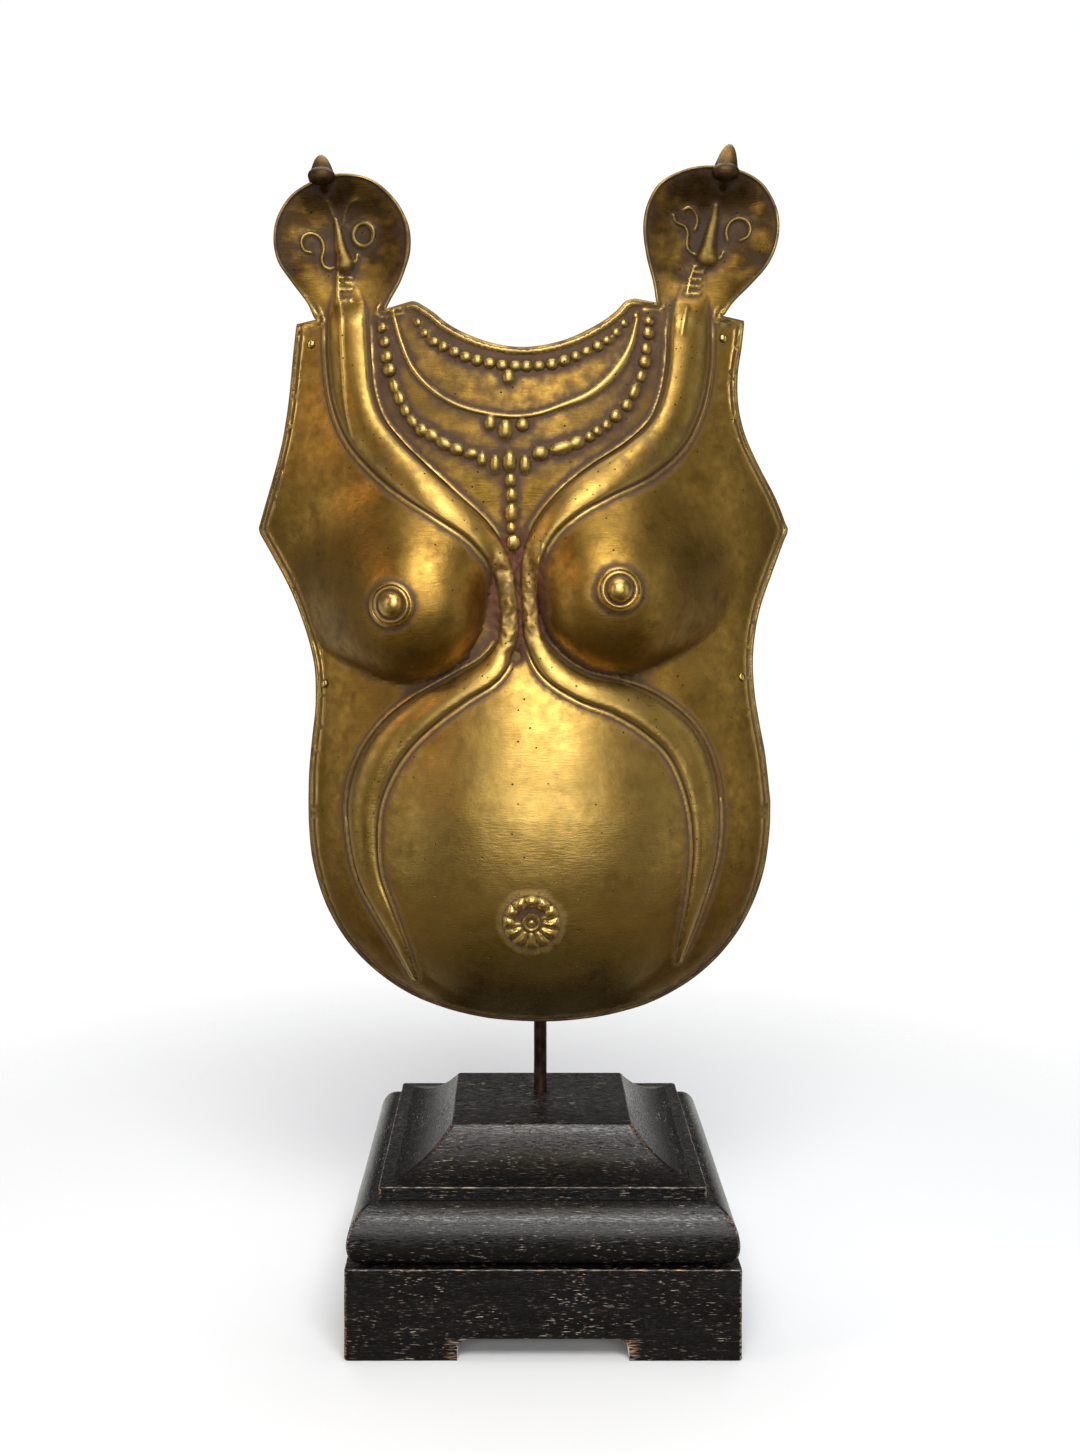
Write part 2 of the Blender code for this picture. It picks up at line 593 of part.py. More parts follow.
def plate_mesh():
    """Front and back sheets of the plate, joined round the outline."""
    loop = outline(EDGE_STEP)
    edge = np.vstack([loop, loop[:1]])
    bm = bmesh.new()
    layers = []
    hip = np.concatenate(hip_rows(loop, (0.40 * GRID, 0.95 * GRID)))
    front_groups = ((fine_points(), 0.09 * GRID), (hip, 0.2 * GRID),
                    (large_points(), 0.26 * GRID))
    back_groups = ((hip, 0.2 * GRID), (back_points(), 0.30 * BACK_GRID))
    for groups, step, depth in ((front_groups, GRID, front_depth),
                                (back_groups, BACK_GRID, back_depth)):
        points, faces, origins = sheet(loop, groups, step, 0.35 * GRID)
        depths = depth(points[:, 0], points[:, 1], edge)
        verts = [bm.verts.new((x, -d, z)) for (x, z), d in zip(points, depths)]
        for face in faces:
            bm.faces.new([verts[i] for i in face])
        rim = {old: verts[new] for new, olds in enumerate(origins) for old in olds if old < len(loop)}
        layers.append([rim[i] for i in range(len(loop))])
    front, back = layers
    for i in range(len(loop)):
        j = (i + 1) % len(loop)
        bm.faces.new((front[i], front[j], back[j], back[i]))
    return bm


def depth_at(across, up, depth, edge):
    """Place and outward direction of a spot on the sheet."""
    x, z = place(across, up)
    tiny = 0.001
    slope_x, slope_z = (
        float(smooth_depth(x + dx, z + dz) - smooth_depth(x - dx, z - dz)) / (2 * tiny)
        for dx, dz in ((tiny, 0.0), (0.0, tiny)))
    normal = Vector((-slope_x, -1.0, -slope_z)).normalized()
    return Vector((float(x), -float(depth(x, z, edge)), float(z))), normal


def turned(profile, place_at, axis, sides=12):
    """A closed turned solid: a profile of (radius, height) rows round an axis."""
    bm = bmesh.new()
    rings = []
    for radius, height in profile:
        if radius == 0.0:
            rings.append([bm.verts.new((0.0, 0.0, height))])
            continue
        rings.append([bm.verts.new((radius * math.cos(2 * math.pi * i / sides),
                                    radius * math.sin(2 * math.pi * i / sides), height))
                      for i in range(sides)])
    for low, high in zip(rings[:-1], rings[1:]):
        for i in range(sides):
            j = (i + 1) % sides
            corners = [low[i % len(low)], low[j % len(low)], high[j % len(high)], high[i % len(high)]]
            bm.faces.new(list(dict.fromkeys(corners)))
    turn = axis.to_track_quat("Z", "Y").to_matrix().to_4x4()
    bmesh.ops.transform(bm, matrix=Matrix.Translation(place_at) @ turn, verts=bm.verts)
    return bm


def join(obj, other, operation):
    """An exact Boolean between two objects, kept as a modifier."""
    other.hide_render = True
    other.display_type = "WIRE"
    modifier = obj.modifiers.new(other.name, "BOOLEAN")
    modifier.operation = operation
    modifier.solver = "EXACT"
    modifier.object = other


def cobra_heads(plate, helpers):
    """A head and a pointed crest at the top of each hood, grown into the plate."""
    for side, across, up, size, lean in zip(
            ("left", "right"), HOODS["head_across"], HOODS["head_up"], HOODS["crest"],
            HOODS["crown"] - HOODS["foot"]):
        x, z = (float(value) for value in place(across, up))
        seat = -float(hood_depth(np.array(x), np.array(z)))
        centre = Vector((x, seat - 0.25 * HEAD_RADIUS, z))
        bm = bmesh.new()
        bmesh.ops.create_icosphere(bm, subdivisions=2, radius=HEAD_RADIUS)
        bmesh.ops.scale(bm, vec=HEAD_STRETCH, verts=bm.verts)
        bmesh.ops.translate(bm, vec=centre, verts=bm.verts)
        head = new_object(f"head_{side}", bm, None, helpers)
        base = Vector((x, seat + 0.40 * HEAD_RADIUS, z - 0.2 * HEAD_RADIUS))
        axis = Vector((lean, 0.10, 1.0)).normalized()
        height = CREST_HEIGHT * size
        profile = [(0.0, 0.0)]
        for share in (0.0, 0.25, 0.5, 0.72, 0.88, 0.97):
            profile.append((CREST_RADIUS * (1.0 - share) ** CREST_POWER, height * share))
        profile.append((0.0, height))
        crest = new_object(f"crest_{side}", turned(profile, base, axis, 10), None, helpers)
        join(plate, head, "UNION")
        join(plate, crest, "UNION")


def rivet(name, spot, plate, tree, edge, materials, collection, helpers):
    """A round-headed rivet through its drilled hole, with a gap all round."""
    where, normal = depth_at(*spot, front_depth, edge)
    fronts, backs = [], []
    aside = normal.orthogonal().normalized()
    for turn in range(12):
        arm = Matrix.Rotation(math.tau * turn / 12, 3, normal) @ aside * RIVET_HEAD_RADIUS
        for start, heading, found in ((0.02, -normal, fronts), (-0.02, normal, backs)):
            hit = tree.ray_cast(where + arm + normal * start, heading)[0]
            if hit:
                found.append((hit - where).dot(normal))
    front, back = max(fronts) + GAP, min(backs) - GAP
    hole_radius = RIVET_SHANK_RADIUS + GAP
    hole = turned([(0.0, -DRILL_REACH), (hole_radius, -DRILL_REACH), (hole_radius, DRILL_REACH),
                   (0.0, DRILL_REACH)], where, normal, 10)
    join(plate, new_object(f"{name}_hole", hole, None, helpers), "DIFFERENCE")
    thin = 0.4 * RIVET_HEAD_RISE
    profile = [(0.0, back - thin), (0.8 * RIVET_HEAD_RADIUS, back - thin),
               (0.8 * RIVET_HEAD_RADIUS, back), (RIVET_SHANK_RADIUS, back),
               (RIVET_SHANK_RADIUS, front), (RIVET_HEAD_RADIUS, front)]
    for share in (0.4, 0.7, 0.9):
        profile.append((RIVET_HEAD_RADIUS * math.sqrt(1 - share**2), front + RIVET_HEAD_RISE * share))
    profile.append((0.0, front + RIVET_HEAD_RISE))
    new_object(name, turned(profile, where, normal, 10), materials["brass"], collection)


def block(name, rows, material, collection):
    """A mitred block: a rectangle drawn up through rows of (height, half width, half depth)."""
    bm = bmesh.new()
    loops = []
    for height, half_x, half_y in rows:
        corners = ((-half_x, -half_y), (half_x, -half_y), (half_x, half_y), (-half_x, half_y))
        loops.append([bm.verts.new((ROD_OFFSET + x, y, height)) for x, y in corners])
    bm.faces.new(loops[0][::-1])
    bm.faces.new(loops[-1])
    for low, high in zip(loops[:-1], loops[1:]):
        for i in range(4):
            j = (i + 1) % 4
            bm.faces.new((low[i], low[j], high[j], high[i]))
    return new_object(name, bm, material, collection)


def plinth(materials, collection, helpers):
    """The lower block on four feet, left by two crossing arches."""
    half_x, half_y = 0.5 * PLINTH_WIDTH, 0.5 * PLINTH_DEPTH
    obj = block("pedestal_plinth", [(0.0, half_x, half_y), (PLINTH_HEIGHT, half_x, half_y)],
                materials["wood"], collection)
    reach = 1.2 * max(PLINTH_WIDTH, PLINTH_DEPTH)
    for name, size in (("arch_front", (FOOT_ARCH_WIDTH, reach)), ("arch_side", (reach, FOOT_ARCH_WIDTH))):
        bm = bmesh.new()
        bmesh.ops.create_cube(bm, size=1.0)
        bmesh.ops.scale(bm, vec=(*size, 2 * FOOT_ARCH_HEIGHT), verts=bm.verts)
        long_axis = 1 if size[1] > size[0] else 0
        upper = [edge for edge in bm.edges
                 if min(v.co.z for v in edge.verts) > 0.0
                 and abs(edge.verts[0].co[long_axis] - edge.verts[1].co[long_axis]) > 0.5 * reach]
        bmesh.ops.bevel(bm, geom=upper, offset=FOOT_ARCH_ROUND, segments=4, affect="EDGES", profile=0.5)
        bmesh.ops.translate(bm, vec=(ROD_OFFSET, 0.0, 0.0), verts=bm.verts)
        join(obj, new_object(name, bm, None, helpers), "DIFFERENCE")
    bevel = obj.modifiers.new("worn_edges", "BEVEL")
    bevel.width = EDGE_WEAR
    bevel.segments = 1
    bevel.limit_method = "ANGLE"
    return obj


def moulding(materials, collection):
    """The bullnose: a band rounded above and below, with a flat top."""
    base = PLINTH_HEIGHT + GAP
    half_x = 0.5 * PLINTH_WIDTH - MOULDING_LEDGE
    half_y = 0.5 * PLINTH_DEPTH - MOULDING_LEDGE
    rows = []
    for turn in np.linspace(0.0, 0.5 * math.pi, 5):
        tuck = MOULDING_TUCK * (1.0 - math.sin(turn))
        share = MOULDING_WIDEST * (1.0 - math.cos(turn))
        rows.append((base + MOULDING_HEIGHT * share, half_x - tuck, half_y - tuck))
    for turn in np.linspace(0.0, 0.5 * math.pi, 7)[1:]:
        inset = MOULDING_ROUND * (1.0 - math.cos(turn))
        share = MOULDING_WIDEST + (1.0 - MOULDING_WIDEST) * math.sin(turn)
        rows.append((base + MOULDING_HEIGHT * share, half_x - inset, half_y - inset))
    return block("pedestal_moulding", rows, materials["wood"], collection)


def cove(materials, collection, helpers):
    """The upper block: a short upright side and a hollow curve up to the flat top."""
    base = PLINTH_HEIGHT + GAP + MOULDING_HEIGHT + GAP
    half_x = 0.5 * PLINTH_WIDTH - TOP_INSET
    half_y = 0.5 * PLINTH_DEPTH - TOP_INSET
    rows = [(base, half_x, half_y)]
    for share in np.linspace(0.0, 1.0, 9):
        inset = COVE_REACH * share
        height = base + TOP_FILLET_HEIGHT + COVE_HEIGHT * share**COVE_POWER
        rows.append((height, half_x - inset, half_y - inset))
    obj = block("pedestal_top", rows, materials["wood"], collection)
    radius = ROD_RADIUS + GAP
    hole = turned([(0.0, -SOCKET_DEPTH), (radius, -SOCKET_DEPTH), (radius, 0.01), (0.0, 0.01)],
                  Vector((ROD_OFFSET, ROD_SETBACK, PEDESTAL_TOP)), Vector((0, 0, 1)), 16)
    join(obj, new_object("rod_socket", hole, None, helpers), "DIFFERENCE")
    return obj


def post(tree, materials, collection, helpers):
    """The rod, with a crossbar and two pads that bear on the plate's hollow back."""
    height = float(place(0.0, BAR_UP)[1])
    foot = PEDESTAL_TOP - SOCKET_DEPTH + GAP
    up = Vector((0, 0, 1))
    reach = height - foot + BAR_RADIUS
    rod = turned([(0.0, 0.0), (ROD_RADIUS, 0.0), (ROD_RADIUS, reach), (0.0, reach)],
                 Vector((ROD_OFFSET, ROD_SETBACK, foot)), up, 16)
    obj = new_object("stand_post", rod, materials["steel"], collection)
    half = BAR_HALF * HALF_WIDTH
    bar = turned([(0.0, -half), (BAR_RADIUS, -half), (BAR_RADIUS, half), (0.0, half)],
                 Vector((ROD_OFFSET, ROD_SETBACK, height)), Vector((1, 0, 0)), 10)
    join(obj, new_object("crossbar", bar, None, helpers), "UNION")
    for index, across in enumerate(PADS):
        x = across * HALF_WIDTH
        nearest_y = []
        for turn in range(13):
            spread = PAD_RADIUS if turn else 0.0
            start = Vector((x + spread * math.cos(math.tau * turn / 12), ROD_SETBACK + 0.05,
                            height + spread * math.sin(math.tau * turn / 12)))
            hit = tree.ray_cast(start, Vector((0, -1, 0)))[0]
            if hit:
                nearest_y.append(hit.y)
        face = max(nearest_y) + GAP
        length = ROD_SETBACK - face
        neck = length - PAD_THICKNESS
        profile = [(0.0, 0.0), (BAR_RADIUS, 0.0), (BAR_RADIUS, neck),
                   (PAD_RADIUS, neck), (PAD_RADIUS, length), (0.0, length)]
        arm = turned(profile, Vector((x, ROD_SETBACK, height)), Vector((0, -1, 0)), 12)
        join(obj, new_object(f"pad_{index}", arm, None, helpers), "UNION")
    return obj


def main():
    for obj in list(bpy.data.objects):
        bpy.data.objects.remove(obj)
    collection = bpy.data.collections.new("ceremonial_breastplate")
    helpers = bpy.data.collections.new("cutters")
    for group in (collection, helpers):
        bpy.context.scene.collection.children.link(group)
    materials = {
        "cast": finish("cast_brass", (0.34, 0.24, 0.07), 1.0, 0.38),
        "brass": finish("rivet_brass", (0.38, 0.27, 0.08), 1.0, 0.35),
        "wood": finish("ebonised_wood", (0.012, 0.010, 0.009), 0.0, 0.35),
        "steel": finish("dark_steel", (0.06, 0.045, 0.035), 1.0, 0.45),
    }
    loop = outline(EDGE_STEP)
    edge = np.vstack([loop, loop[:1]])
    plate = new_object("breastplate", plate_mesh(), materials["cast"], collection)
    cobra_heads(plate, helpers)
    bpy.context.view_layer.update()
    tree = BVHTree.FromObject(plate, bpy.context.evaluated_depsgraph_get())
    for name, spot in RIVETS.items():
        rivet(name, spot, plate, tree, edge, materials, collection, helpers)
    post(tree, materials, collection, helpers)
    cove(materials, collection, helpers)
    moulding(materials, collection)
    plinth(materials, collection, helpers)


main()
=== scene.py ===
# %% [markdown]
# # A cast brass breastplate on a wooden stand
# The breastplate is one brass casting, about 57 cm tall with its two cobras. A steel rod holds it
# over a pedestal of dark hardwood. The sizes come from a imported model, which is loaded first as a
# fixed frame in metres, with +Z up. Each piece made here takes the place of one of its solids.

# %% Load the frame
import math

import bmesh
import bpy
import numpy as np
from mathutils import Matrix, Vector, noise
from mathutils.geometry import delaunay_2d_cdt


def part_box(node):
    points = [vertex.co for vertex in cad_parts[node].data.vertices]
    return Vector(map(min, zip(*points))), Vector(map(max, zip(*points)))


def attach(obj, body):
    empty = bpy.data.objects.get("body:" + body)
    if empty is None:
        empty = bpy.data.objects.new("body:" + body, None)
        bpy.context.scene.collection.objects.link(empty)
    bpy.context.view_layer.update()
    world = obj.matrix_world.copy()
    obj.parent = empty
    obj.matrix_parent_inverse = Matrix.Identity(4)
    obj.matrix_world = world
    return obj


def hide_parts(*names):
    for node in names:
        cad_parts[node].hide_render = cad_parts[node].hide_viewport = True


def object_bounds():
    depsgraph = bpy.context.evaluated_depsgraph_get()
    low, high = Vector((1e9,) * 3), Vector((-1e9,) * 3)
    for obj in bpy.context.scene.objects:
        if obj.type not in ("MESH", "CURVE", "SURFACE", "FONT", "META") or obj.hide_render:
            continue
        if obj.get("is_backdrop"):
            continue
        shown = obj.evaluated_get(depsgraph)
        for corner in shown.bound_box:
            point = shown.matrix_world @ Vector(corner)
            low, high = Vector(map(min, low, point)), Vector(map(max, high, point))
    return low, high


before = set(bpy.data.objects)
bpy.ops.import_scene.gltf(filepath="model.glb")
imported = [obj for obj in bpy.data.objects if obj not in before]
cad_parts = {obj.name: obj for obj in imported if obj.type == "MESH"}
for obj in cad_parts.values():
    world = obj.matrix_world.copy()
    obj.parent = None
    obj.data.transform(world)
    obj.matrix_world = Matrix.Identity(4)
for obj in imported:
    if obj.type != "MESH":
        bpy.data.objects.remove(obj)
cad_box = [list(corner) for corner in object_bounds()]
print("solids:", sorted(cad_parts))

# %% [markdown]
# ## Camera
# The photograph was taken from straight in front at chest height, with the camera level, so all
# uprights stay parallel. A lens that is shifted down instead of tilted keeps them so.

# %% Camera
scene = bpy.context.scene
camera_data = bpy.data.cameras.new("studio_camera")
camera_data.lens = 34.615
camera_data.sensor_width = 36.0
camera_data.shift_x = 0.0130
camera_data.shift_y = -0.0955
camera = bpy.data.objects.new("studio_camera", camera_data)
camera.location = (-0.002, -0.918, 0.448)
camera.rotation_euler = (math.radians(90.0), 0.0, 0.0)
scene.collection.objects.link(camera)
scene.camera = camera
print("camera stands", round(-camera.location.y, 3), "m in front")

# %% [markdown]
# ## Colours and nodes
# Colours are written as the hex values that a picture editor shows. Blender's shaders add up
# light, so each value is first turned from sRGB to linear. One helper adds a shader node with its
# settings and links, which keeps each material readable as a list of steps.

# %% Colours and nodes
def linear(hex_colour):
    """An sRGB hex colour as linear red, green, blue and alpha."""
    parts = [int(hex_colour[i:i + 2], 16) / 255 for i in (1, 3, 5)]
    return (*(c / 12.92 if c <= 0.04045 else ((c + 0.055) / 1.055) ** 2.4 for c in parts), 1.0)


def add(tree, kind, inputs=(), **settings):
    """One node with its settings. An input takes a value, or the output of another node."""
    made = tree.nodes.new(kind)
    for name, value in settings.items():
        setattr(made, name, value)
    for name, value in dict(inputs).items():
        if isinstance(value, bpy.types.NodeSocket):
            tree.links.new(value, made.inputs[name])
        else:
            made.inputs[name].default_value = value
    return made


print("pale gold is", [round(c, 3) for c in linear("#D9BC6A")])

# %% [markdown]
# ## Studio
# Brass shows its form by what it reflects. A dim room with a few large soft lamps gives dark
# flanks, a broad pale sheen on the belly and grey edges from two tall panels beside the object.
# A white paper sweep hangs behind. It lights the edges that face away from the lens, and to the
# lens itself it is a clean white, as when a photographer lights it apart from the subject.

# %% Room and backdrop
ROOM = [(0.0, "#40382A"), (0.10, "#5A503C"), (0.22, "#958970"), (0.34, "#645A48"), (0.46, "#3A342B"),
        (0.62, "#36332F"), (1.0, "#77746F")]
BACKDROP_STRENGTH = 1.02
world = bpy.data.worlds.new("studio_room")
scene.world = world
world.use_nodes = True
tree = world.node_tree
tree.nodes.clear()
direction = add(tree, "ShaderNodeTexCoord")
axes = add(tree, "ShaderNodeSeparateXYZ", {0: direction.outputs["Generated"]})
height = add(tree, "ShaderNodeMapRange", {0: axes.outputs["Z"], 1: -1.0, 2: 1.0})
shade = add(tree, "ShaderNodeValToRGB", {0: height.outputs[0]})
for stop, colour in ROOM[1:-1]:
    shade.color_ramp.elements.new(stop)
for element, (stop, colour) in zip(shade.color_ramp.elements, ROOM):
    element.position = stop
    element.color = linear(colour)
behind = add(tree, "ShaderNodeMapRange", {0: axes.outputs["Y"], 1: 0.25, 2: 0.70})
level = add(tree, "ShaderNodeMapRange", {0: axes.outputs["Z"], 1: 0.20, 2: -0.10})
paper_share = add(tree, "ShaderNodeMath", {0: behind.outputs[0], 1: level.outputs[0]},
                  operation="MULTIPLY")
sweep = add(tree, "ShaderNodeMix", {0: paper_share.outputs[0], 6: shade.outputs[0],
                                    7: linear("#E4E4E0")}, data_type="RGBA")
room = add(tree, "ShaderNodeBackground", {"Color": sweep.outputs[2], "Strength": 1.0})
backdrop = add(tree, "ShaderNodeBackground", {"Color": linear("#FFFFFF"),
                                            "Strength": BACKDROP_STRENGTH})
lens = add(tree, "ShaderNodeLightPath")
seen = add(tree, "ShaderNodeMixShader", {0: lens.outputs["Is Camera Ray"], 1: room.outputs[0],
                                         2: backdrop.outputs[0]})
add(tree, "ShaderNodeOutputWorld", {"Surface": seen.outputs[0]})
scene.view_settings.view_transform = "Standard"
print("room shades:", len(ROOM))

# %% Lamps
AIM = Vector((0.0, -0.05, 0.38))
LAMPS = {
    "front_softbox": ((0.12, -1.10, 1.50), (1.10, 0.62), 23.0, "#FFFDF8"),
    "low_front_panel": ((0.05, -1.50, 0.62), (2.20, 0.66), 14.0, "#FFFDF8"),
    "warm_key": ((-1.30, -0.50, 1.10), (0.16, 0.16), 1.6, "#FFB45E"),
    "left_panel": ((-1.15, -0.30, 0.50), (0.40, 1.2), 2.2, "#EDF1F6"),
    "right_panel": ((1.15, -0.28, 0.50), (0.40, 1.2), 1.8, "#EDF1F6"),
    "top_softbox": ((0.0, 0.40, 2.00), (1.6, 1.4), 25.0, "#FFFFFF"),
}
for name, (spot, size, watts, colour) in LAMPS.items():
    lamp = bpy.data.lights.new(name, "AREA")
    lamp.shape = "RECTANGLE"
    lamp.size, lamp.size_y = size
    lamp.energy = watts
    lamp.color = linear(colour)[:3]
    holder = bpy.data.objects.new(name, lamp)
    holder.location = spot
    holder.rotation_euler = (AIM - Vector(spot)).to_track_quat("-Z", "Y").to_euler()
    scene.collection.objects.link(holder)
print("lamps:", len(LAMPS), "with", sum(row[2] for row in LAMPS.values()), "W")

# %% [markdown]
# ## Floor
# The stand rests on a plain pale table top. It fades into the backdrop with distance, as an
# evenly lit paper sweep does, so no horizon line cuts through the picture. The table is left out
# of mirror reflections, because a black card in front of it keeps the undersides dark.

# %% Floor
FLOOR_REACH = 1.1
FADE_FROM, FADE_TO = 0.28, 0.80


def begun(name):
    """A new material with its node tree and its main shader."""
    material = bpy.data.materials.new(name)
    material.use_nodes = True
    return material, material.node_tree, material.node_tree.nodes["Principled BSDF"]


def drawn_from(bm, name):
    """The mesh that a working mesh has become."""
    mesh = bpy.data.meshes.new(name)
    bm.to_mesh(mesh)
    bm.free()
    return mesh


paper, tree, shader = begun("white_paper_sweep")
shader.inputs["Base Color"].default_value = linear("#E6E9EE")
shader.inputs["Roughness"].default_value = 0.9
spot = add(tree, "ShaderNodeTexCoord")
flat = add(tree, "ShaderNodeVectorMath", {0: spot.outputs["Object"]}, operation="LENGTH")
fade = add(tree, "ShaderNodeMapRange", {0: flat.outputs["Value"], 1: FADE_FROM, 2: FADE_TO},
           interpolation_type="SMOOTHSTEP")
clear = add(tree, "ShaderNodeBsdfTransparent")
both = add(tree, "ShaderNodeMixShader", {0: fade.outputs[0], 1: shader.outputs[0],
                                         2: clear.outputs[0]})
tree.links.new(both.outputs[0], tree.nodes["Material Output"].inputs["Surface"])
bm = bmesh.new()
bmesh.ops.create_circle(bm, cap_ends=True, segments=64, radius=FLOOR_REACH)
floor_mesh = drawn_from(bm, "floor")
floor = bpy.data.objects.new("floor", floor_mesh)
floor_mesh.materials.append(paper)
scene.collection.objects.link(floor)
floor.visible_glossy = False
floor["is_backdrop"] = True
print("floor reaches", FLOOR_REACH, "m")

# %% [markdown]
# ## Aged cast brass
# The plate is sand-cast or lost-wax brass, polished long ago and handled since. Raised lines are
# rubbed to pale gold, broad fields have an olive-gold skin, and a mauve-brown crust of old polish
# and oxide stays in every hollow. The crust is dull and barely metallic, while the rest is a
# metal with a soft, slightly wavy sheen and tiny casting pits. Numbers that are kept on the mesh's
# points tell the shader where a spot is sheltered, rubbed, tarnished brown, pitted or burnt red.
# Some of them also carry painted light: painted shade darkens the chest, a line inside the hip rim
# and the hollow under each head, and a painted sheen makes the belly a paler gold.
# Real casting pits are a few tenths of a millimetre wide. They are drawn up to one millimetre
# wide, so that they show in the picture.

# %% Aged cast brass
CLOUD_SIZE = 0.045
STAIN_SIZE = 0.016
BLEMISH_SIZE = 0.006
GRIT_SIZE = 0.0009
WAVE_LENGTH = 0.020
PIT_SPACING = 0.0036
BRUSH_STROKE = (0.006, 0.004, 0.0009)


def masked(tree, name):
    """One of the numbers that the mesh keeps for each point."""
    return add(tree, "ShaderNodeAttribute", attribute_name=name).outputs["Fac"]


def blended(tree, share, low, high):
    """A colour between two, by a share."""
    made = add(tree, "ShaderNodeMix", {0: share}, data_type="RGBA")
    for slot, colour in ((6, low), (7, high)):
        if isinstance(colour, str):
            made.inputs[slot].default_value = linear(colour)
        else:
            tree.links.new(colour, made.inputs[slot])
    return made.outputs[2]


def worked(tree, operation, *values, **settings):
    """One sum, product or limit of numbers."""
    made = add(tree, "ShaderNodeMath", dict(enumerate(values)), operation=operation, **settings)
    return made.outputs[0]


def mottled(tree, where, size, detail=4.0, low=0.35, high=0.65, roughness=0.55):
    """Even noise with patches of a real size in metres, from 0 to 1."""
    cloud = add(tree, "ShaderNodeTexNoise", {"Vector": where, "Scale": 1.0 / size, "Detail": detail,
                                             "Roughness": roughness})
    return add(tree, "ShaderNodeMapRange", {0: cloud.outputs["Fac"], 1: low, 2: high}).outputs[0]


def stretched(tree, where, sizes):
    """Places divided by a size along each axis, so that a pattern stretches to those sizes."""
    return add(tree, "ShaderNodeMapping", {"Vector": where, "Scale": [1 / size for size in sizes]},
               vector_type="POINT").outputs[0]


def aged_brass(name, sheen, fields):
    """Cast brass with its skin, crust and pits. Fields is how far the skin is from bare metal."""
    material, tree, shader = begun(name)
    where = add(tree, "ShaderNodeTexCoord").outputs["Object"]
    broad = mottled(tree, where, CLOUD_SIZE, 5.0)
    small = mottled(tree, where, BLEMISH_SIZE, 5.0, 0.30, 0.70)
    grain = mottled(tree, where, GRIT_SIZE, 3.0, 0.25, 0.75)
    # On the plate the crust and tarnish numbers also carry painted shade, and the rubbed number a
    # painted sheen.
    rubbed = masked(tree, "rubbed")
    sheltered = masked(tree, "sheltered")
    tarnish = masked(tree, "tarnish")
    skin = blended(tree, broad, "#8A6C2E", "#A98540")
    skin = blended(tree, worked(tree, "MULTIPLY", small, fields), skin, "#6F5527")
    stain = mottled(tree, where, STAIN_SIZE, 7.0, 0.50, 0.70, 0.65)
    skin = blended(tree, worked(tree, "MULTIPLY", stain, 0.5), skin, "#554118")
    skin = blended(tree, worked(tree, "MULTIPLY", tarnish, 0.92), skin, "#2C1D0C")
    skin = blended(tree, rubbed, skin, "#D6B96F")
    ragged = worked(tree, "MULTIPLY_ADD", small, 0.55, -0.28)
    crust = worked(tree, "ADD", sheltered, worked(tree, "MULTIPLY", ragged, sheltered))
    crust = add(tree, "ShaderNodeMapRange", {0: crust, 1: 0.22, 2: 0.85}).outputs[0]
    dirt_and_shade = blended(tree, small, "#442F1D", "#624A34")
    dirt_and_shade = blended(tree, masked(tree, "burnt"), dirt_and_shade, "#6A3F28")
    dirt_and_shade = blended(tree, worked(tree, "MULTIPLY", tarnish, 0.8), dirt_and_shade, "#2A1B0E")
    spots = add(tree, "ShaderNodeTexVoronoi", {"Vector": where, "Scale": 1.0 / PIT_SPACING,
                                               "Randomness": 1.0})
    pit = add(tree, "ShaderNodeMapRange", {0: spots.outputs["Distance"], 1: 0.09, 2: 0.17, 3: 1.0,
                                           4: 0.0}).outputs[0]
    chance = add(tree, "ShaderNodeSeparateColor", {0: spots.outputs["Color"]}).outputs[0]
    some = worked(tree, "GREATER_THAN", worked(tree, "ADD", chance, masked(tree, "pitted")), 0.93)
    pit = worked(tree, "MULTIPLY", pit, some)
    skin = blended(tree, crust, skin, dirt_and_shade)
    skin = blended(tree, pit, skin, "#1C120A")
    tree.links.new(skin, shader.inputs["Base Color"])
    metal = worked(tree, "SUBTRACT", 1.0, worked(tree, "MULTIPLY", crust, 0.62))
    tree.links.new(metal, shader.inputs["Metallic"])
    dull = worked(tree, "MULTIPLY_ADD", crust, 0.30, sheen)
    dull = worked(tree, "MULTIPLY_ADD", small, 0.12, dull)
    dull = worked(tree, "MULTIPLY_ADD", rubbed, -0.08, dull, use_clamp=True)
    tree.links.new(dull, shader.inputs["Roughness"])
    wavy = mottled(tree, where, WAVE_LENGTH, 2.0, 0.0, 1.0)
    waves = add(tree, "ShaderNodeBump", {"Height": wavy, "Distance": 0.0012, "Strength": 0.35})
    strokes = mottled(tree, stretched(tree, where, BRUSH_STROKE), 1.0, 3.0, 0.3, 0.7)
    rough = worked(tree, "MULTIPLY_ADD", small, 0.4, worked(tree, "MULTIPLY", grain, 0.3))
    rough = worked(tree, "MULTIPLY_ADD", strokes, 0.5, rough)
    skin_bump = add(tree, "ShaderNodeBump", {"Height": rough, "Distance": 0.00035, "Strength": 0.35,
                                             "Normal": waves.outputs[0]})
    holes = add(tree, "ShaderNodeBump", {"Height": worked(tree, "SUBTRACT", 1.0, pit),
                                         "Distance": 0.0006, "Strength": 0.8,
                                         "Normal": skin_bump.outputs[0]})
    tree.links.new(holes.outputs[0], shader.inputs["Normal"])
    return material


cast_brass = aged_brass("aged_cast_brass", 0.36, 0.60)
rivet_brass = aged_brass("hand_peened_rivet_brass", 0.26, 0.30)
print("brass has", len(cast_brass.node_tree.nodes), "nodes")

# %% [markdown]
# ## Ebonised hardwood and blackened steel
# The pedestal is a coarse open-grained hardwood, stained black and waxed to a low gloss. Its grain
# runs along each moulding, so the noise is stretched along a direction that the mesh keeps. Bare
# tan wood shows in short flecks where the stain missed the pores, and along every rubbed edge.
# The pores are really about a quarter of a millimetre wide, and are drawn coarser so that they show.
# The rod is mild steel, blackened hot and gone a little brown with handling.

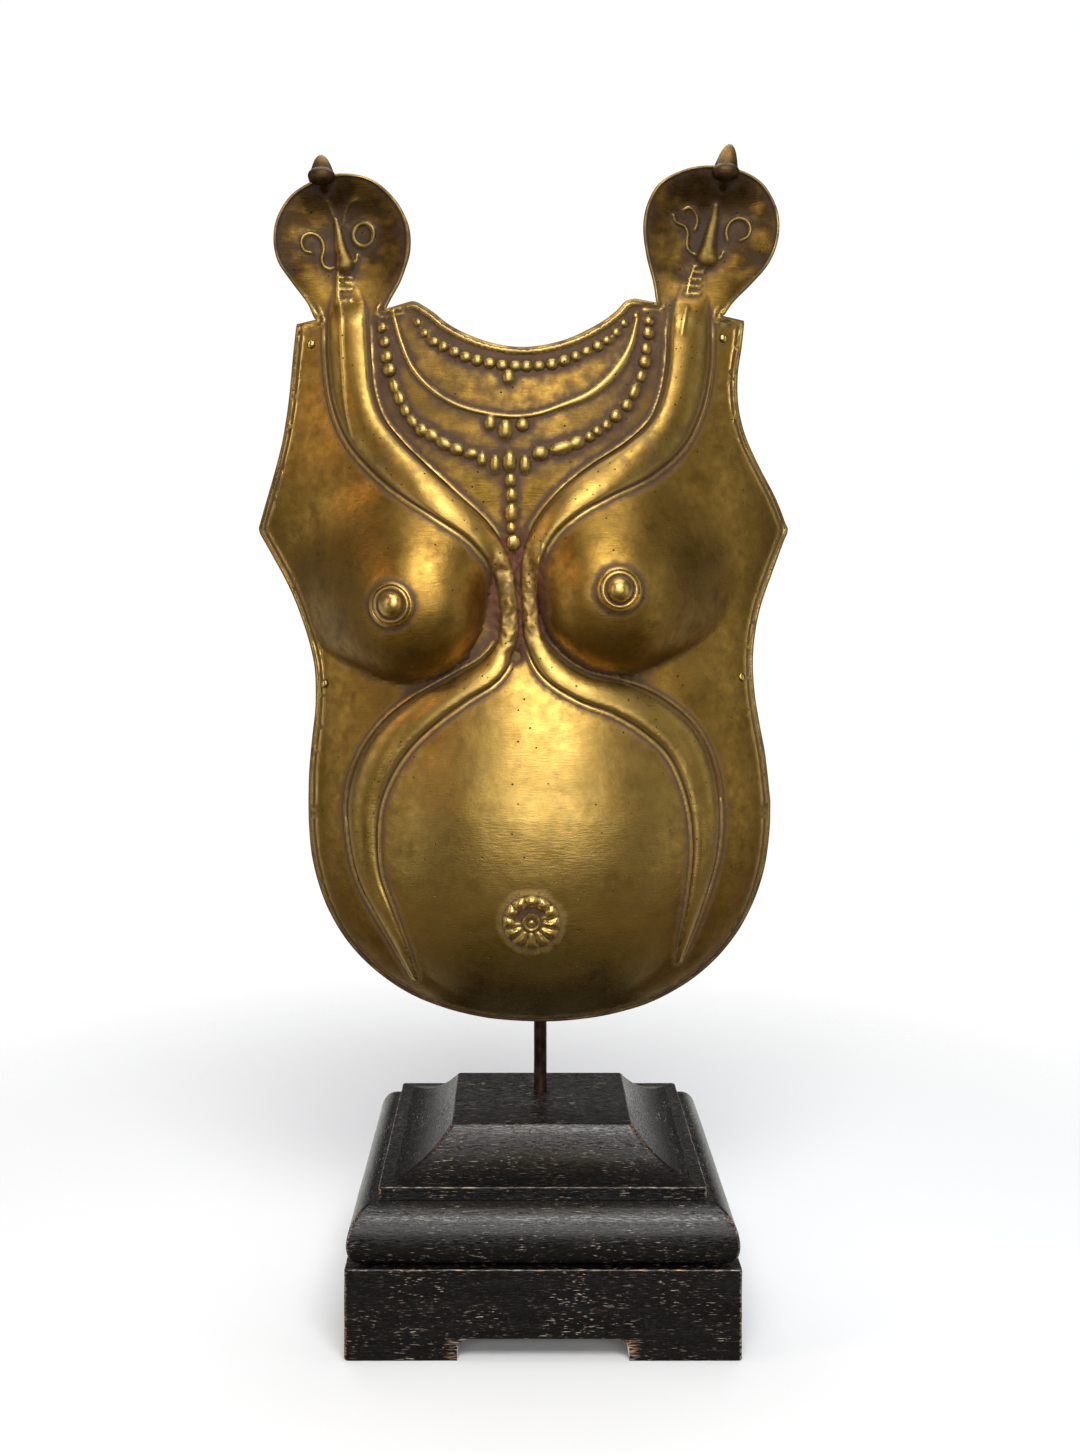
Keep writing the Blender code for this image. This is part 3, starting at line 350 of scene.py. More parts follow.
# %% Ebonised hardwood
FLECK_LENGTH = 0.0042
FLECK_WIDTH = 0.00045
BAND_LENGTH = 0.09
BAND_WIDTH = 0.007
WORN_PATCH = 0.02


def ebonised(name):
    """Black-stained, waxed hardwood with open pores."""
    material, tree, shader = begun(name)
    grain = add(tree, "ShaderNodeAttribute", attribute_name="grain").outputs["Vector"]
    wide = stretched(tree, grain, (BAND_LENGTH, BAND_WIDTH, BAND_WIDTH))
    fine = stretched(tree, grain, (FLECK_LENGTH, FLECK_WIDTH, FLECK_WIDTH))
    bands = mottled(tree, wide, 1.0, 3.0, 0.3, 0.7)
    pores = mottled(tree, fine, 1.0, 2.0, 0.45, 0.75)
    fleck = mottled(tree, fine, 1.0, 2.0, 0.676, 0.698, 0.4)
    patch = mottled(tree, add(tree, "ShaderNodeTexCoord").outputs["Object"], WORN_PATCH, 4.0,
                    0.40, 0.60)
    fleck = worked(tree, "MULTIPLY", fleck, patch)
    stain = blended(tree, bands, "#060608", "#0D0E10")
    stain = blended(tree, worked(tree, "MULTIPLY", pores, 0.5), stain, "#060505")
    bare = blended(tree, bands, "#CFC6BA", "#A07A5E")
    stain = blended(tree, worked(tree, "MULTIPLY", fleck, 0.8), stain, bare)
    nicked = mottled(tree, fine, 1.4, 3.0, 0.50, 0.62)
    rub = worked(tree, "MULTIPLY", masked(tree, "worn"), nicked)
    stain = blended(tree, rub, stain, blended(tree, patch, "#9A9084", "#B98C62"))
    tree.links.new(stain, shader.inputs["Base Color"])
    gloss = worked(tree, "MULTIPLY_ADD", bands, 0.08, 0.17)
    gloss = worked(tree, "MULTIPLY_ADD", pores, 0.28, gloss)
    tree.links.new(gloss, shader.inputs["Roughness"])
    shader.inputs["Specular IOR Level"].default_value = 0.36
    shader.inputs["Coat Weight"].default_value = 0.22
    shader.inputs["Coat Roughness"].default_value = 0.14
    relief = worked(tree, "MULTIPLY_ADD", pores, -0.7, worked(tree, "MULTIPLY", bands, 0.6))
    bump = add(tree, "ShaderNodeBump", {"Height": relief, "Distance": 0.00022, "Strength": 0.60})
    tree.links.new(bump.outputs[0], shader.inputs["Normal"])
    tree.links.new(bump.outputs[0], shader.inputs["Coat Normal"])
    return material


black_wood = ebonised("ebonised_open_grain_hardwood")
print("flecks are", FLECK_LENGTH * 1000, "mm long")

# %% Blackened steel
steel, tree, shader = begun("blackened_mild_steel")
where = add(tree, "ShaderNodeTexCoord").outputs["Object"]
blotch = mottled(tree, where, 0.008, 4.0)
tree.links.new(blended(tree, blotch, "#3A2A22", "#5B463A"), shader.inputs["Base Color"])
shader.inputs["Metallic"].default_value = 1.0
tree.links.new(worked(tree, "MULTIPLY_ADD", blotch, 0.15, 0.36), shader.inputs["Roughness"])
scale_bump = add(tree, "ShaderNodeBump", {"Height": mottled(tree, where, 0.0015), "Distance": 0.0001,
                                          "Strength": 0.5})
tree.links.new(scale_bump.outputs[0], shader.inputs["Normal"])
print("steel is", steel.name)

# %% [markdown]
# ## The plate's main shape
# The plate is a height field: each spot across and up has one depth towards the viewer. That fits
# a casting made to be worn, which has no undercuts, and lets every ornament be added as a small
# rise. The main sizes are repeated here in metres. Places are shares: across from the middle as a
# share of half the width, and up from the lowest rim as a share of the torso's height.

# %% Main sizes
HALF_WIDTH = 0.177
TORSO_HEIGHT = 0.460
RIM_BOTTOM = 0.167
PLATE_DEPTH = 0.085
WALL = 0.0025
BREAST_RADIUS = 0.0505
BREAST_RISE = 0.044
BREAST_FLOW = 0.75
BREAST_BLUNT = 0.62
BREAST_SOFTEN = 1.6
BELLY_RISE = 0.026
HIP_UP = 0.310
HIP_POWER = 2.38
HOOD_SETBACK = 0.013
HOOD_CUP = 0.011
HOOD_CURL = 0.016


def table(columns, rows):
    """Named columns of a short table of shares."""
    return {name: np.array(column) for name, column in zip(columns.split(), zip(*rows))}


BODY = table("up shift half edge front turn", [
    (0.310, 0.056, 0.858, 0.00, 0.67, 0.93),
    (0.375, 0.050, 0.850, 0.00, 0.64, 0.93),
    (0.460, 0.040, 0.835, -0.05, 0.58, 0.92),
    (0.525, 0.022, 0.845, -0.10, 0.52, 0.90),
    (0.611, 0.004, 0.900, -0.18, 0.50, 0.88),
    (0.700, -0.015, 0.960, -0.25, 0.53, 0.85),
    (0.765, -0.028, 0.955, -0.22, 0.56, 0.80),
    (0.830, -0.040, 0.910, -0.18, 0.54, 0.75),
    (0.895, -0.040, 0.880, -0.12, 0.49, 0.70),
    (0.960, -0.035, 0.870, -0.05, 0.42, 0.65),
    (1.040, -0.030, 0.870, 0.00, 0.36, 0.60),
])
BREASTS = table("across up lean tip_across tip_up", [
    (-0.422, 0.592, 118.0, -0.456, 0.590),
    (0.335, 0.604, 62.0, 0.323, 0.610),
])
BELLY = {"across": 0.052, "up": 0.240, "half": 0.600, "half_above": 0.290, "half_below": 0.220}
HOODS = table("foot crown head_across head_up crest", [
    (-0.640, -0.668, -0.729, 1.182, 0.776),
    (0.612, 0.690, 0.723, 1.187, 1.00),
])
HOOD_FOOT_UP = 1.000
HOOD_CROWN_UP = 1.150
HOOD_HALF = 0.240
HOOD_CURLS = (1.110, 1.205)
print("plate is", round(2 * HALF_WIDTH * 1000), "mm wide")

# %% Smooth curves through chosen points
def place(across, up):
    """Shares to metres in the X and Z directions."""
    return np.asarray(across) * HALF_WIDTH, np.asarray(up) * TORSO_HEIGHT + RIM_BOTTOM


def eased(knots, values, at):
    """A smooth curve through a table's rows."""
    slope = np.gradient(values, knots)
    at = np.clip(at, knots[0], knots[-1])
    row = np.clip(np.searchsorted(knots, at) - 1, 0, len(knots) - 2)
    span = knots[row + 1] - knots[row]
    t = (at - knots[row]) / span
    start = (2 * t**3 - 3 * t**2 + 1) * values[row] + (t**3 - 2 * t**2 + t) * span * slope[row]
    end = (3 * t**2 - 2 * t**3) * values[row + 1] + (t**3 - t**2) * span * slope[row + 1]
    return start + end


def ramp(value, low, high):
    """Rises smoothly from 0 at low to 1 at high."""
    t = np.clip((value - low) / (high - low), 0.0, 1.0)
    return t * t * (3 - 2 * t)


def dome(share):
    """A half-round profile: 1 in the middle, 0 at a share of 1 and beyond."""
    return np.sqrt(np.clip(1.0 - share**2, 0.0, 1.0))


def through(points, step):
    """Points about one step apart on a smooth curve through a few chosen ones."""
    points = np.array(points, dtype=float)
    chord = np.hypot(*np.diff(points[:, :2], axis=0).T)
    knots = np.concatenate([[0.0], np.cumsum(chord)])
    count = max(2, round(knots[-1] / step))
    at = np.linspace(0.0, knots[-1], count + 1)
    return np.column_stack([eased(knots, column, at) for column in points.T])


def route(shares, step):
    """A smooth route in metres through points given as shares."""
    return through(np.column_stack(place(*np.array(shares, dtype=float).T)), step)


def nearest(x, z, path):
    """Distance to a path, and the share of its length where it is nearest."""
    best = np.full(np.shape(x), np.inf)
    along = np.zeros(np.shape(x))
    lengths = np.hypot(*np.diff(path, axis=0).T)
    before = np.concatenate([[0.0], np.cumsum(lengths)])
    for start, end, length, done in zip(path[:-1], path[1:], lengths, before):
        run = end - start
        t = np.clip(((x - start[0]) * run[0] + (z - start[1]) * run[1]) / length**2, 0.0, 1.0)
        distance = np.hypot(x - start[0] - t * run[0], z - start[1] - t * run[1])
        closer = distance < best
        best = np.where(closer, distance, best)
        along = np.where(closer, (done + t * length) / before[-1], along)
    return best, along


def beside(x, z, path):
    """Distance to a path that keeps half widths, its share of length there, and the half width."""
    away, along = nearest(x, z, path[:, :2])
    return away, along, np.interp(along, np.linspace(0.0, 1.0, len(path)), path[:, 2])


def height_share(z):
    """How far up the torso a spot is, as a share of its height."""
    return (z - RIM_BOTTOM) / TORSO_HEIGHT


print("a dome at half its width stands at", round(float(dome(0.5)), 3))

# %% Torso, breasts, belly and hoods
def body_depth(x, z):
    """How far the smooth torso stands forward of the rim's plane."""
    up = height_share(z)
    row = {name: eased(BODY["up"], BODY[name], up) for name in BODY}
    below = np.clip((HIP_UP - up) / HIP_UP, 0.0, 0.9995)
    close = (1.0 - below**HIP_POWER) ** (1.0 / HIP_POWER)
    side = np.clip((x / HALF_WIDTH - row["shift"]) / (row["half"] * close), -1.05, 1.05)
    turn = row["turn"]
    flat = np.sqrt(1.0 - turn**2)
    arch = (np.sqrt(np.clip(1.0 - (turn * side) ** 2, 0.0, 1.0)) - flat) / (1.0 - flat)
    return PLATE_DEPTH * (row["edge"] + (row["front"] - row["edge"]) * arch * close**1.15)


def breast_depth(x, z):
    """Two round breasts, sharp below and soft towards the shoulders."""
    total = np.zeros(np.shape(x))
    for across, up, lean in zip(BREASTS["across"], BREASTS["up"], BREASTS["lean"]):
        centre = place(across, up)
        away = np.hypot(x - centre[0], z - centre[1]) / BREAST_RADIUS
        angle = np.arctan2(z - centre[1], x - centre[0])
        soft = ramp(np.cos(angle - math.radians(lean)), -0.6, 0.9)
        share = away / (1.0 + BREAST_FLOW * soft)
        power = BREAST_BLUNT + BREAST_SOFTEN * soft
        total = total + BREAST_RISE * np.clip(1.0 - share**2, 0.0, 1.0) ** power
    return total


def belly_depth(x, z):
    """The full belly between the cobras' tails."""
    centre = place(BELLY["across"], BELLY["up"])
    reach = TORSO_HEIGHT * np.where(z < centre[1], BELLY["half_below"], BELLY["half_above"])
    share = np.hypot((x - centre[0]) / (BELLY["half"] * HALF_WIDTH), (z - centre[1]) / reach)
    return BELLY_RISE * np.clip(1.0 - share**2, 0.0, 1.0) ** 1.1


def hood_depth(x, z):
    """The two spread hoods: cupped forward at the sides, and curling over at the top."""
    up = height_share(z)
    rise = (up - HOOD_FOOT_UP) / (HOOD_CROWN_UP - HOOD_FOOT_UP)
    foot = np.where(x < 0.0, *HOODS["foot"])
    middle = foot + rise * (np.where(x < 0.0, *HOODS["crown"]) - foot)
    side = np.clip((x / HALF_WIDTH - middle) / HOOD_HALF, -1.1, 1.1)
    curl = ramp(up, *HOOD_CURLS) ** 1.5
    return HOOD_SETBACK + HOOD_CUP * side**2 * (1.0 - curl) + HOOD_CURL * curl


def smooth_depth(x, z):
    """The plate without its fine relief."""
    up = height_share(z)
    torso = body_depth(x, z) + breast_depth(x, z) + belly_depth(x, z)
    blend = ramp(up, 0.985, 1.060)
    return torso * (1.0 - blend) + hood_depth(x, z) * blend


print("belly stands", round(float(smooth_depth(*place(0.05, 0.4))) * 1000), "mm forward")

# %% [markdown]
# ## The outline
# The outline is drawn as runs between the plate's corners: hips, flanks, armholes, neckline and
# the two hoods. Each run is a smooth curve through a few points, and the corners between runs
# stay sharp, as they were left in the wax model.

# %% Outline
FLANK_LEFT = [(-0.794, 0.310), (-0.791, 0.353), (-0.780, 0.396), (-0.768, 0.450), (-0.773, 0.500),
              (-0.803, 0.545), (-0.844, 0.588), (-0.903, 0.631), (-1.004, 0.693)]
ARMHOLE_LEFT = [(-1.008, 0.700), (-0.966, 0.740), (-0.928, 0.782), (-0.898, 0.825),
                (-0.877, 0.867), (-0.860, 0.920), (-0.838, 0.986)]
ARMHOLE_RIGHT = [(0.813, 0.992), (0.802, 0.952), (0.789, 0.910), (0.797, 0.867), (0.830, 0.825),
                 (0.886, 0.783), (0.953, 0.741), (1.008, 0.700)]
FLANK_RIGHT = [(1.006, 0.693), (0.932, 0.631), (0.886, 0.588), (0.858, 0.545), (0.847, 0.502),
               (0.851, 0.460), (0.867, 0.417), (0.886, 0.374), (0.906, 0.310)]
HOOD_LEFT = [(-0.763, 0.990), (-0.788, 1.010), (-0.845, 1.040), (-0.891, 1.068), (-0.904, 1.096),
             (-0.895, 1.124), (-0.849, 1.156), (-0.755, 1.178), (-0.650, 1.186), (-0.548, 1.178),
             (-0.465, 1.151), (-0.420, 1.116), (-0.415, 1.082), (-0.446, 1.042), (-0.482, 1.016),
             (-0.503, 0.999)]
HOOD_RIGHT = [(0.480, 1.010), (0.470, 1.038), (0.443, 1.077), (0.431, 1.110), (0.443, 1.143),
              (0.483, 1.171), (0.570, 1.190), (0.677, 1.196), (0.778, 1.190), (0.860, 1.173),
              (0.910, 1.142), (0.918, 1.105), (0.880, 1.062), (0.824, 1.037), (0.772, 1.018),
              (0.727, 0.996)]
NECKLINE = [(-0.430, 1.006), (-0.400, 1.007), (-0.356, 0.998), (-0.270, 0.972), (-0.150, 0.950),
            (-0.011, 0.940), (0.130, 0.949), (0.255, 0.971), (0.340, 0.996), (0.372, 1.009),
            (0.400, 1.012)]


def outline(step):
    """The plate's closed outline, anticlockwise seen from the front, starting at the left hip."""
    half, shift = BODY["half"][0], BODY["shift"][0]
    turn = np.linspace(-math.pi, 0.0, 61)[1:-1]
    power = 2.0 / HIP_POWER
    hip = np.column_stack([
        shift + (half - 0.008) * np.sign(np.cos(turn)) * np.abs(np.cos(turn)) ** power,
        HIP_UP - HIP_UP * np.abs(np.sin(turn)) ** power])
    runs = [FLANK_LEFT[::-1], hip, FLANK_RIGHT[::-1], ARMHOLE_RIGHT[::-1], HOOD_RIGHT[::-1],
            NECKLINE[::-1], HOOD_LEFT[::-1], ARMHOLE_LEFT[::-1]]
    loop = np.concatenate([route(run, step) for run in runs])
    apart = np.hypot(*(loop - np.roll(loop, 1, axis=0)).T)
    return loop[apart > 0.3 * step]


EDGE_STEP = 0.0018
edge_loop = outline(EDGE_STEP)
rim_path = np.vstack([outline(0.004), outline(0.004)[:1]])
print("outline has", len(edge_loop), "points")

# %% [markdown]
# ## The cobras
# Each cobra is a rounded ridge that swings from its hood between the breasts and round the belly.
# A thin raised line runs along both of its sides with a groove next to it. The ridge, line and
# groove all come from one distance, the distance to the snake's middle line. At the neck the ridge
# sinks into the flat hood.

# %% Cobras
SNAKE_RISE = 0.0070
BORDER_RISE = 0.0014
BORDER_HALF = 0.0011
GROOVE = 0.0006
SNAKES = [
    table("across up half", [
        (-0.660, 1.075, 0.030), (-0.655, 1.040, 0.045), (-0.646, 1.010, 0.075),
        (-0.644, 0.980, 0.086), (-0.638, 0.928, 0.090), (-0.621, 0.878, 0.088),
        (-0.576, 0.833, 0.084), (-0.492, 0.793, 0.080), (-0.401, 0.761, 0.075),
        (-0.277, 0.724, 0.062), (-0.158, 0.687, 0.050), (-0.085, 0.646, 0.042),
        (-0.056, 0.591, 0.038), (-0.058, 0.543, 0.040), (-0.110, 0.507, 0.052),
        (-0.232, 0.476, 0.057), (-0.350, 0.446, 0.066), (-0.458, 0.409, 0.073),
        (-0.531, 0.367, 0.074), (-0.571, 0.324, 0.070), (-0.576, 0.270, 0.060),
        (-0.554, 0.215, 0.050), (-0.503, 0.170, 0.040), (-0.446, 0.122, 0.025),
        (-0.395, 0.070, 0.008)]),
    table("across up half", [
        (0.640, 1.080, 0.030), (0.625, 1.045, 0.045), (0.612, 1.012, 0.072),
        (0.605, 0.980, 0.086), (0.598, 0.920, 0.090), (0.571, 0.870, 0.088),
        (0.520, 0.828, 0.084), (0.412, 0.789, 0.080), (0.271, 0.757, 0.070),
        (0.153, 0.726, 0.058), (0.073, 0.693, 0.047), (0.022, 0.646, 0.038),
        (0.022, 0.591, 0.034), (0.036, 0.543, 0.040), (0.086, 0.511, 0.052),
        (0.203, 0.480, 0.055), (0.339, 0.463, 0.064), (0.463, 0.437, 0.072),
        (0.565, 0.400, 0.074), (0.621, 0.352, 0.070), (0.644, 0.302, 0.062),
        (0.644, 0.252, 0.054), (0.621, 0.200, 0.042), (0.593, 0.154, 0.028),
        (0.556, 0.096, 0.008)]),
]
NECK = (0.975, 1.025)
STERNUM = {"across": -0.022, "up": 0.605, "half": 0.15, "half_up": 0.115}


def swelling(rows, step, unit=1.0):
    """A table's line in metres, with the half width at each point."""
    return through(np.column_stack([*place(rows["across"], rows["up"]), rows["half"] * unit]), step)


def snake_paths(step):
    """Each cobra's middle line and half widths, in metres."""
    return [swelling(rows, step, HALF_WIDTH) for rows in SNAKES]


def sternum_share(x, z):
    """1 in the burnt, rough hollow between the breasts, and 0 outside it."""
    centre = place(STERNUM["across"], STERNUM["up"])
    share = np.hypot((x - centre[0]) / (STERNUM["half"] * HALF_WIDTH),
                     (z - centre[1]) / (STERNUM["half_up"] * TORSO_HEIGHT))
    return 1.0 - ramp(share, 0.45, 1.0)


def snake_depth(x, z):
    """The cobras' rounded bodies with their raised borders, and a share that is 1 on the bodies."""
    flatter = 1.0 - 0.92 * ramp(height_share(z), *NECK)
    bodies = np.zeros(np.shape(x))
    lines = np.zeros(np.shape(x))
    grooves = np.zeros(np.shape(x))
    for path in snake_paths(0.005):
        away, along, half = beside(x, z, path)
        rise = SNAKE_RISE * np.sqrt(half / (0.09 * HALF_WIDTH))
        bodies = np.maximum(bodies, rise * dome(away / (0.86 * half)))
        drawn = ramp(along, 0.06, 0.11)
        lines = np.maximum(lines, drawn * BORDER_RISE * dome((away - half) / BORDER_HALF))
        outer = dome((away - half - 1.9 * BORDER_HALF) / (0.9 * BORDER_HALF))
        grooves = np.maximum(grooves, drawn * GROOVE * outer)
    calm = 1.0 - 0.8 * sternum_share(x, z)
    inside_body = ramp(bodies, 0.0, 0.3 * SNAKE_RISE)
    raised = np.maximum(bodies * flatter, calm * (lines - grooves * (1.0 - inside_body)))
    return raised, inside_body * flatter


print("cobras are", [round(float(path[:, 2].max()) * 2000) for path in snake_paths(0.01)], "mm wide")

# %% [markdown]
# ## The necklaces
# Three ornaments hang on the chest: a string of small beads under the neckline, a plain collar
# wire with three drops, and a long string of larger beads with a pendant down the middle. In the
# wax they were balls and rolls pressed on one by one, so no two have quite the same size.

# %% Necklaces
BEAD_RADIUS = 0.0036
LOWER_RADIUS = 1.12 * BEAD_RADIUS
WIRE_RADIUS = 0.0014
DROP_RADIUS = 0.0046
UPPER_STRING = [(-0.395, 0.985), (-0.345, 0.959), (-0.266, 0.939), (-0.181, 0.926),
                (-0.090, 0.917), (0.003, 0.915), (0.102, 0.919), (0.186, 0.930), (0.282, 0.950),
                (0.350, 0.972), (0.373, 0.985)]
UPPER_BEADS = 20
COLLAR_WIRE = [(-0.475, 0.996), (-0.441, 0.950), (-0.401, 0.915), (-0.328, 0.883),
               (-0.237, 0.861), (-0.141, 0.850), (-0.030, 0.845), (0.060, 0.850), (0.124, 0.859),
               (0.237, 0.878), (0.322, 0.907), (0.379, 0.943), (0.407, 0.985)]
LOWER_BEADS = table("across up length width", [
    (-0.512, 0.973, 0.85, 0.85), (-0.504, 0.954, 1.00, 1.00), (-0.496, 0.931, 1.00, 1.00),
    (-0.484, 0.913, 1.05, 1.05), (-0.465, 0.890, 1.20, 0.85), (-0.446, 0.873, 1.15, 0.85),
    (-0.424, 0.856, 1.10, 0.80), (-0.398, 0.841, 1.20, 0.85), (-0.368, 0.828, 1.10, 1.05),
    (-0.330, 0.819, 1.30, 1.05), (-0.285, 0.809, 1.35, 1.00), (-0.238, 0.800, 1.30, 1.00),
    (-0.186, 0.794, 1.25, 0.95), (0.055, 0.795, 1.20, 1.15), (0.132, 0.802, 1.90, 1.10),
    (0.186, 0.810, 1.30, 1.00), (0.232, 0.818, 0.80, 0.85), (0.262, 0.826, 0.80, 0.85),
    (0.292, 0.835, 0.80, 0.85), (0.326, 0.847, 1.00, 1.05), (0.367, 0.863, 1.00, 0.95),
    (0.395, 0.883, 1.25, 0.95), (0.419, 0.905, 1.15, 0.90), (0.434, 0.925, 1.05, 1.00),
    (0.440, 0.944, 1.00, 0.95), (0.448, 0.966, 1.00, 0.95), (0.450, 0.983, 0.80, 0.85),
])
DROPS = table("across up length width", [
    (-0.120, 0.836, 1.00, 0.80), (-0.066, 0.826, 1.30, 1.10), (-0.006, 0.834, 0.95, 0.90),
    (-0.057, 0.900, 1.00, 0.95), (-0.150, 0.786, 0.95, 0.70), (-0.103, 0.780, 1.15, 0.75),
    (-0.052, 0.783, 1.40, 0.90), (0.003, 0.780, 1.15, 0.85),
    (-0.050, 0.758, 0.95, 0.80), (-0.045, 0.737, 0.95, 0.75), (-0.044, 0.714, 1.25, 0.80),
    (-0.045, 0.693, 0.80, 0.65), (-0.040, 0.674, 1.10, 1.00), (-0.495, 1.000, 0.40, 0.40),
    (0.405, 0.990, 0.45, 0.45),
])


def bead_rows():
    """Each bead's centre, the direction of its string, and its half length and half width."""
    rows = []
    uneven = np.random.default_rng(11)
    string = route(UPPER_STRING, 0.001)
    for share in (np.arange(UPPER_BEADS) + 0.5) / UPPER_BEADS:
        spot = round(share * (len(string) - 1))
        heading = string[min(spot + 1, len(string) - 1)] - string[spot - 1]
        size = BEAD_RADIUS * (0.66 + 0.42 * math.sin(math.pi * share) ** 0.6)
        rows.append((string[spot], heading, size, size))
    spots = np.column_stack(place(LOWER_BEADS["across"], LOWER_BEADS["up"]))
    headings = np.gradient(spots, axis=0)
    for spot, heading, length, width in zip(spots, headings, LOWER_BEADS["length"],
                                            LOWER_BEADS["width"]):
        rows.append((spot, heading, LOWER_RADIUS * length, LOWER_RADIUS * width))
    for across, up, length, width in zip(*DROPS.values()):
        spot = np.array(place(across, up))
        rows.append((spot, np.array([0.0, 1.0]), DROP_RADIUS * length, DROP_RADIUS * width))
    return [(spot + uneven.normal(0.0, 0.00025, 2), heading / np.hypot(*heading),
             length * uneven.uniform(0.98, 1.16), width * uneven.uniform(0.92, 1.10))
            for spot, heading, length, width in rows]


beads = bead_rows()


def necklace_depth(x, z):
    """Beads, drops and the collar wire."""
    total = np.zeros(np.shape(x))
    for spot, heading, length, width in beads:
        along = (x - spot[0]) * heading[0] + (z - spot[1]) * heading[1]
        aside = (x - spot[0]) * heading[1] - (z - spot[1]) * heading[0]
        share = np.hypot(along / length, aside / width)
        total = np.maximum(total, 0.82 * width * dome(share))
    away, along = nearest(x, z, route(COLLAR_WIRE, 0.005))
    half = WIRE_RADIUS * (1.15 + 0.9 * ramp(along, 0.60, 0.82) * (1.0 - ramp(along, 0.85, 1.0)))
    return np.maximum(total, 1.15 * WIRE_RADIUS * dome(away / half))


print("beads and drops:", len(beads))

# %% [markdown]
# ## Nipples, navel and hood faces
# The nipples are balls in two thin rings. The navel is a rosette of twelve petals round a button:
# the upper petals roll over into bulbs, and the lower ones are open cups. Each hood has a face in
# low relief: a nose ridge, a ring for an eye, a curl like a question mark and a ladder of bars.

# %% Nipples and navel
NIPPLE_RADIUS = 0.0078
NIPPLE_RISE = 0.0080
RING_RADII = (0.0104, 0.0132)
RING_HALF = 0.0012
AREOLA = (0.0125, 0.0142)
NAVEL = (0.024, 0.174)
ROSETTE_RADIUS = 0.0175
ROSETTE_RISE = 0.0036
PETALS = 12


def nipple_depth(x, z):
    """A ball in two thin rings on each breast."""
    total = np.zeros(np.shape(x))
    for across, up in zip(BREASTS["tip_across"], BREASTS["tip_up"]):
        centre = place(across, up)
        away = np.hypot(x - centre[0], z - centre[1])
        total = total + 0.0016 * (1.0 - ramp(away, *AREOLA))
        for radius in RING_RADII:
            total = total + RING_HALF * dome((away - radius) / RING_HALF)
        total = total + NIPPLE_RISE * dome(away / NIPPLE_RADIUS)
    return total


def rosette_depth(x, z):
    """Twelve petals round a ring and a button."""
    centre = place(*NAVEL)
    away = np.hypot(x - centre[0], z - centre[1]) / ROSETTE_RADIUS
    angle = np.arctan2(z - centre[1], x - centre[0])
    upper = ramp(np.sin(angle - 0.25), 0.0, 0.5)
    lobe = np.abs(np.cos(0.5 * PETALS * angle)) ** 0.45
    bulb = dome((away - 0.79) / 0.19) * upper
    cup = dome((away - 0.66) / 0.33) * (0.72 + 0.28 * ramp(away, 0.5, 0.85)) * (1.0 - upper)
    rib = 0.12 * np.cos(3.0 * PETALS * angle) * (1.0 - upper) * dome((away - 0.58) / 0.22)
    petals = ROSETTE_RISE * lobe * (1.05 * bulb + cup + rib)
    rim = 0.0005 * dome((away - 1.04) / 0.06)
    button = 0.0017 * dome((away - 0.265) / 0.06) + 0.0021 * dome(away / 0.13)
    return np.maximum(petals, rim) + button


print("petals:", PETALS)

# %% Hood faces
EYE_RADIUS = 0.0066
EYE_RING = 0.0017
BROW_RISE = 0.0012
TIP_RISE = 0.0038
THROAT_RISE = 0.0042
FACE_LINE = 0.0015
LINE_HEIGHT = 0.0011
# The brows and the creases down the necks are shallower than the other lines.
FAINT_LINES = {1: 0.0004, 2: 0.0004, 10: 0.0006, 11: 0.0006}
EYES = [(-0.587, 1.108)]
FACE_LINES = [
    [(-0.774, 1.082), (-0.797, 1.084), (-0.808, 1.094), (-0.802, 1.104), (-0.778, 1.109),
     (-0.751, 1.106), (-0.734, 1.097), (-0.731, 1.086), (-0.737, 1.074), (-0.730, 1.064),
     (-0.709, 1.060), (-0.686, 1.064)],
    [(-0.687, 1.127), (-0.704, 1.142), (-0.717, 1.153)],
    [(-0.683, 1.126), (-0.668, 1.122), (-0.653, 1.137), (-0.632, 1.150), (-0.606, 1.154)],
    [(-0.679, 1.056), (-0.679, 1.040), (-0.679, 1.015)],
    [(0.583, 1.141), (0.598, 1.144), (0.617, 1.140), (0.631, 1.131), (0.630, 1.122),
     (0.623, 1.115)],
    [(0.544, 1.133), (0.550, 1.126), (0.568, 1.122), (0.587, 1.119), (0.597, 1.110),
     (0.594, 1.098), (0.597, 1.089), (0.616, 1.082), (0.642, 1.079)],
    [(0.621, 1.064), (0.606, 1.046), (0.594, 1.025)],
    [(-0.686, 1.064), (-0.662, 1.064), (-0.638, 1.066), (-0.614, 1.071), (-0.610, 1.080)],
    [(0.621, 1.081), (0.642, 1.078), (0.667, 1.074), (0.693, 1.073), (0.713, 1.075),
     (0.725, 1.083)],
    [(0.741, 1.100), (0.736, 1.112), (0.748, 1.124), (0.776, 1.130), (0.805, 1.127),
     (0.820, 1.117), (0.815, 1.106), (0.795, 1.100), (0.785, 1.099)],
    [(-0.673, 1.011), (-0.664, 0.982), (-0.662, 0.953), (-0.657, 0.924),
     (-0.651, 0.888), (-0.638, 0.852), (-0.618, 0.820)],
    [(0.591, 1.005), (0.578, 0.984), (0.569, 0.964)],
]
LADDERS = [
    [(-0.679, -0.631, 1.056), (-0.679, -0.631, 1.048), (-0.679, -0.630, 1.040),
     (-0.679, -0.629, 1.031), (-0.679, -0.629, 1.015)],
    [(0.621, 0.662, 1.064), (0.612, 0.655, 1.056), (0.600, 0.642, 1.046),
     (0.596, 0.640, 1.036), (0.592, 0.640, 1.025)],
]
